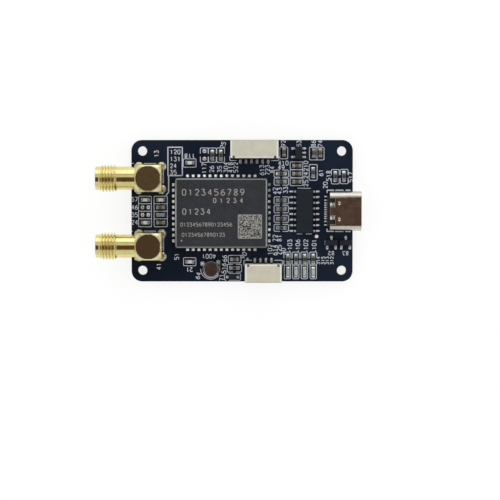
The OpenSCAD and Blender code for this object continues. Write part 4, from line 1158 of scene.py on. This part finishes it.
def makeBoardPrint():
    slot = "solder_mask_board"
    numbers, small, lines, heavy, dot = (Strokes() for _ in range(5))
    for number in boardNumbers:
        numbers.digits(*number)
    numbers.write("printed_numbers", boardTop, ink["digitLineMm"], 0.07, "number_ink", slot)
    for number in smallNumbers:
        small.digits(*number)
    small.write("printed_small_numbers", boardTop, ink["smallLineMm"], 0.05, "number_ink", slot)

    lines.frame(-13.3, 9.85, -10.4, 11.75)
    lines.frame(-13.25, -12.45, -10.45, -10.6)
    for left, right in ((-23.4, -20.5), (-19.9, -16.9)):
        lines.frame(left, -3.6, right, 3.3)
        for y in (1.6, -0.1, -1.8):
            lines.line((left, y), (right, y))
    for x in (-8.55, -6.7, -4.85):
        lines.brackets(x, 12.57, True)
    for y in (8.4, 6.6, 2.35, 0.35, -1.8, -3.85):
        lines.brackets(8.85, y, False, 1.62, 0.8, 0.28)
    lines.brackets(21.05, 7.7, True)
    lines.brackets(23.05, 7.75, True)
    lines.brackets(-1.75, -13.0, False)
    lines.frame(8.5, 11.75, 10.3, 14.4)
    lines.frame(15.2, 11.5, 18.5, 14.35)
    lines.line((16.9, 11.5), (16.9, 14.35))
    for y in (10.2, 8.4, 6.55):
        lines.frame(10.85, y - 0.86, 13.7, y + 0.86)
    lines.frame(-3.15, -11.8, -0.25, -10.1)
    lines.frame(15.15, 6.9, 16.95, 10.45)
    lines.line((-3.0, -14.2), (-0.35, -14.2), (-0.35, -15.75), (-3.0, -15.75))
    lines.line((-3.6, -14.2), (-4.0, -14.35), (-4.0, -15.6), (-3.6, -15.75))
    for x in (10.25, 12.15, 14.1, 16.1):
        lines.line((x - 0.8, -10.75), (x - 0.8, -9.35), (x + 0.55, -9.35), (x + 0.55, -8.95))
        lines.line((x + 0.8, -10.75), (x + 0.8, -9.35), (x + 0.55, -9.35))
        lines.line((x - 0.8, -11.2), (x - 0.8, -12.3), (x + 0.8, -12.3), (x + 0.8, -11.2))
        lines.frame(x - 0.72, -15.4, x + 0.72, -12.3)
    # Round the jacks, the sixteen-lead chip and the socket, and at the headers' back corners
    for stroke in (((-22.2, 10.7), (-19.45, 10.7)), ((-25, 10.7), (-24.5, 10.7)),
                   ((-17.75, 9.0), (-17.75, 6.2)), ((-22.2, -4.6), (-19.5, -4.6)),
                   ((-17.75, -6.2), (-17.75, -9.1)), ((-25, -4.6), (-24.7, -4.6)),
                   ((12.4, -5.25), (13.6, -5.25)), ((14.4, -5.25), (15.75, -5.25)),
                   ((12.5, 5.1), (15.5, 5.1)), ((18.75, -6.8), (18.75, -7.7)),
                   ((-2.8, 12.4), (-2.8, 11.35), (-1.3, 11.35)), ((6.6, 11.35), (8.3, 11.35), (8.3, 12.4)),
                   ((0.4, -12.4), (0.4, -11.2), (2.2, -11.2)), ((7.3, -11.2), (9.1, -11.2), (9.1, -12.4))):
        lines.line(*stroke)
    # Ring round the backup cell
    arc = [math.radians(angle) for angle in range(178, 334, 12)]
    lines.line(*[(-7.12 + 2.25 * math.cos(a), -13.25 + 2.25 * math.sin(a)) for a in arc])
    lines.write("printed_frames", boardTop, ink["boxLineMm"], ink["cornerMm"], "board_ink", slot)

    heavy.line((-16.55, 7.95), (-16.75, 7.95), (-16.75, 14.35), (-13.5, 14.35), (-13.5, 7.95), (-16.55, 7.95))
    heavy.line((-16.6, 7.95), (-16.6, 4.2), (-17.2, 3.5))
    # Dashes beside the socket
    for y in (-4.66, 4.66):
        heavy.line((20.75, y), (19.2, y), (19.2, math.copysign(4.05, y)))
        heavy.line((21.05, y), (22.9, y))
        heavy.line((23.35, y), (24.55, y))
    heavy.dot(1.25, -10.85, 0.1)
    heavy.write("printed_heavy_lines", boardTop, ink["heavyLineMm"], 0.05, "board_ink", slot)
    for radius in (0.13, 0.27):
        dot.dot(16.85, -5.8, radius)
    dot.write("printed_dot", boardTop, ink["heavyLineMm"], 0, "white_paint", slot)
    print("board printed")


# Laser marks on the can: counting numbers and a square of random cells

canMarks = {
    # Digits, place, height and advance
    "rows": (("0123456789", -6.5, 4.25, 1.3, 1.45), ("01234", -3.15, 2.4, 0.95, 1.5),
             ("01234", -10.25, -0.1, 1.2, 1.36)),
    "fineRows": (("01234567890123456", -8.05, -3.0, 0.78, 0.69), ("01234567890123", -8.7, -5.3, 0.78, 0.7)),
    "lineMm": 0.2,
    "fineLineMm": 0.13,
    "dotPlace": (-13.6, -6.6),
    "dotMm": 0.22,
    "codeMiddle": (1.75, -3.45),
    "codeSideMm": 5.0,
    "codeMarginMm": 0.1,
    "codeCells": 25,
    "codeShare": 0.56,
    "codeSeed": 11,
}


def makeCodeTree():
    tree, desk, wires = newTree("random cells", {
        "Cells": ("Int", 25), "Side": ("Float", 5 * mm), "Thickness": ("Float", 0.02 * mm),
        "Share": ("Float", 0.5), "Seed": ("Int", 1), "Middle": ("Vector", None), "Mark": ("Material", None)})
    cells, side = wires["Cells"], wires["Side"]
    pitch = side / cells
    reach = side - pitch
    grid = desk.add("GeometryNodeMeshGrid", {}, {"Size X": reach, "Size Y": reach, "Vertices X": cells,
                                                 "Vertices Y": cells})
    points = desk.add("GeometryNodeMeshToPoints", {}, {"Mesh": grid})
    chance = desk.add("FunctionNodeRandomValue", {"data_type": "FLOAT"},
                      {2: 0.0, 3: 1.0, 8: wires["Seed"]}, 1)
    points = desk.add("GeometryNodeDeleteGeometry", {"domain": "POINT"},
                      {"Geometry": points, "Selection": chance > wires["Share"]})
    cell = desk.add("GeometryNodeMeshCube", {}, {"Size": desk.vector(pitch, pitch, wires["Thickness"])})
    cast = desk.add("GeometryNodeInstanceOnPoints", {}, {"Points": points, "Instance": cell})
    real = desk.add("GeometryNodeRealizeInstances", {}, {0: cast})
    moved = desk.add("GeometryNodeSetPosition", {}, {"Geometry": real, "Offset": wires["Middle"]})
    endTree(desk, moved, wires["Mark"], False)
    return tree


def makeCanMarks():
    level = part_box("module_shield_can")[1].z
    numbers, fine = Strokes(), Strokes()
    for strokes, rows in ((numbers, canMarks["rows"]), (fine, canMarks["fineRows"])):
        for text, x, y, height, advance in rows:
            strokes.digits(text, x, y, 0, height, advance)
    for share in (2, 6):
        numbers.dot(*canMarks["dotPlace"], canMarks["dotMm"] / share)
    x, y = canMarks["codeMiddle"]
    half = canMarks["codeSideMm"] / 2 + canMarks["codeMarginMm"]
    numbers.frame(x - half, y - half, x + half, y + half)
    numbers.write("can_marks", level, canMarks["lineMm"], 0.1, "laser_mark", "shield_sheet")
    fine.write("can_small_marks", level, canMarks["fineLineMm"], 0.065, "laser_mark", "shield_sheet")
    mark, thick = finishes["laser_mark"], ink["thickMm"] * mm
    cells = runTree(makeCodeTree(), bpy.data.meshes.new("empty"), {
        "Cells": canMarks["codeCells"], "Side": canMarks["codeSideMm"] * mm, "Thickness": thick,
        "Share": canMarks["codeShare"], "Seed": canMarks["codeSeed"],
        "Middle": Vector((x * mm, y * mm, level + thick / 2)), "Mark": mark})
    newPiece("can_code_cells", cells, mark)
    print("can marked")


makeBoardPrint()
makeCanMarks()


# Rounded copies of what is moulded, cut or folded with soft edges

rounding = {
    "blockMm": 0.14,
    "blockSegments": 3,
    "blockFootMm": 0.6,
    "blockDegrees": 24,
    "blockJoinDegrees": 3,
    "crownMm": 0.02,
    "capSeatMm": 2.83,
    "shellMm": 0.04,
    "shellFoldMm": 2.8,
    "shellDegrees": 40,
    "lensSegments": 3,
    "sharpDegrees": 50,
    "nodesMm": (
        (0.06, "upper_header_housing lower_header_housing"),
        (0.05, "serial_bridge_chip regulator_chip surge_diode_1 surge_diode_2 rectifier_diode"),
        (0.045, "serial_bridge_leads"),
        (0.04, "regulator_leads surge_diode_leads rectifier_diode_leads"),
        (0.05, "upper_header_contacts lower_header_contacts"),
        (0.03, "brown_capacitors pale_capacitors feed_inductor"),
        (0.02, "fuse supply_resistors module_resistors usb_resistors lamp_resistors lamp_bases"),
        (0.05, "lamp_lenses"),
        (0.03, "lamp_ends"),
        (0.02, "usb_contacts"),
    ),
}


def makeRounded():
    for number in (1, 2):
        name = f"antenna_jack_{number}_body"
        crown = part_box(name)[1].z
        capLow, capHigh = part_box(f"antenna_jack_{number}_cap")
        seat = (capLow + capHigh).xy / 2

        def atCap(point):
            return point.z > crown - 1 * mm and (point.xy - seat).length < rounding["capSeatMm"] * mm

        softened(name, rounding["blockMm"], rounding["blockSegments"],
                 boardTop + rounding["blockFootMm"] * mm, crown - rounding["crownMm"] * mm,
                 angle=rounding["blockDegrees"], joined=rounding["blockJoinDegrees"], spared=atCap)
    for radius, names in rounding["nodesMm"]:
        for name in names.split():
            softened(name, radius, rounding["lensSegments"] if name == "lamp_lenses" else 2)
    softened("usb_shell", rounding["shellMm"], low=boardTop + rounding["shellFoldMm"] * mm,
             angle=rounding["shellDegrees"])
    print("edges rounded")


makeRounded()
print("pieces:", sum(1 for item in bpy.data.objects if item.type == "MESH"))
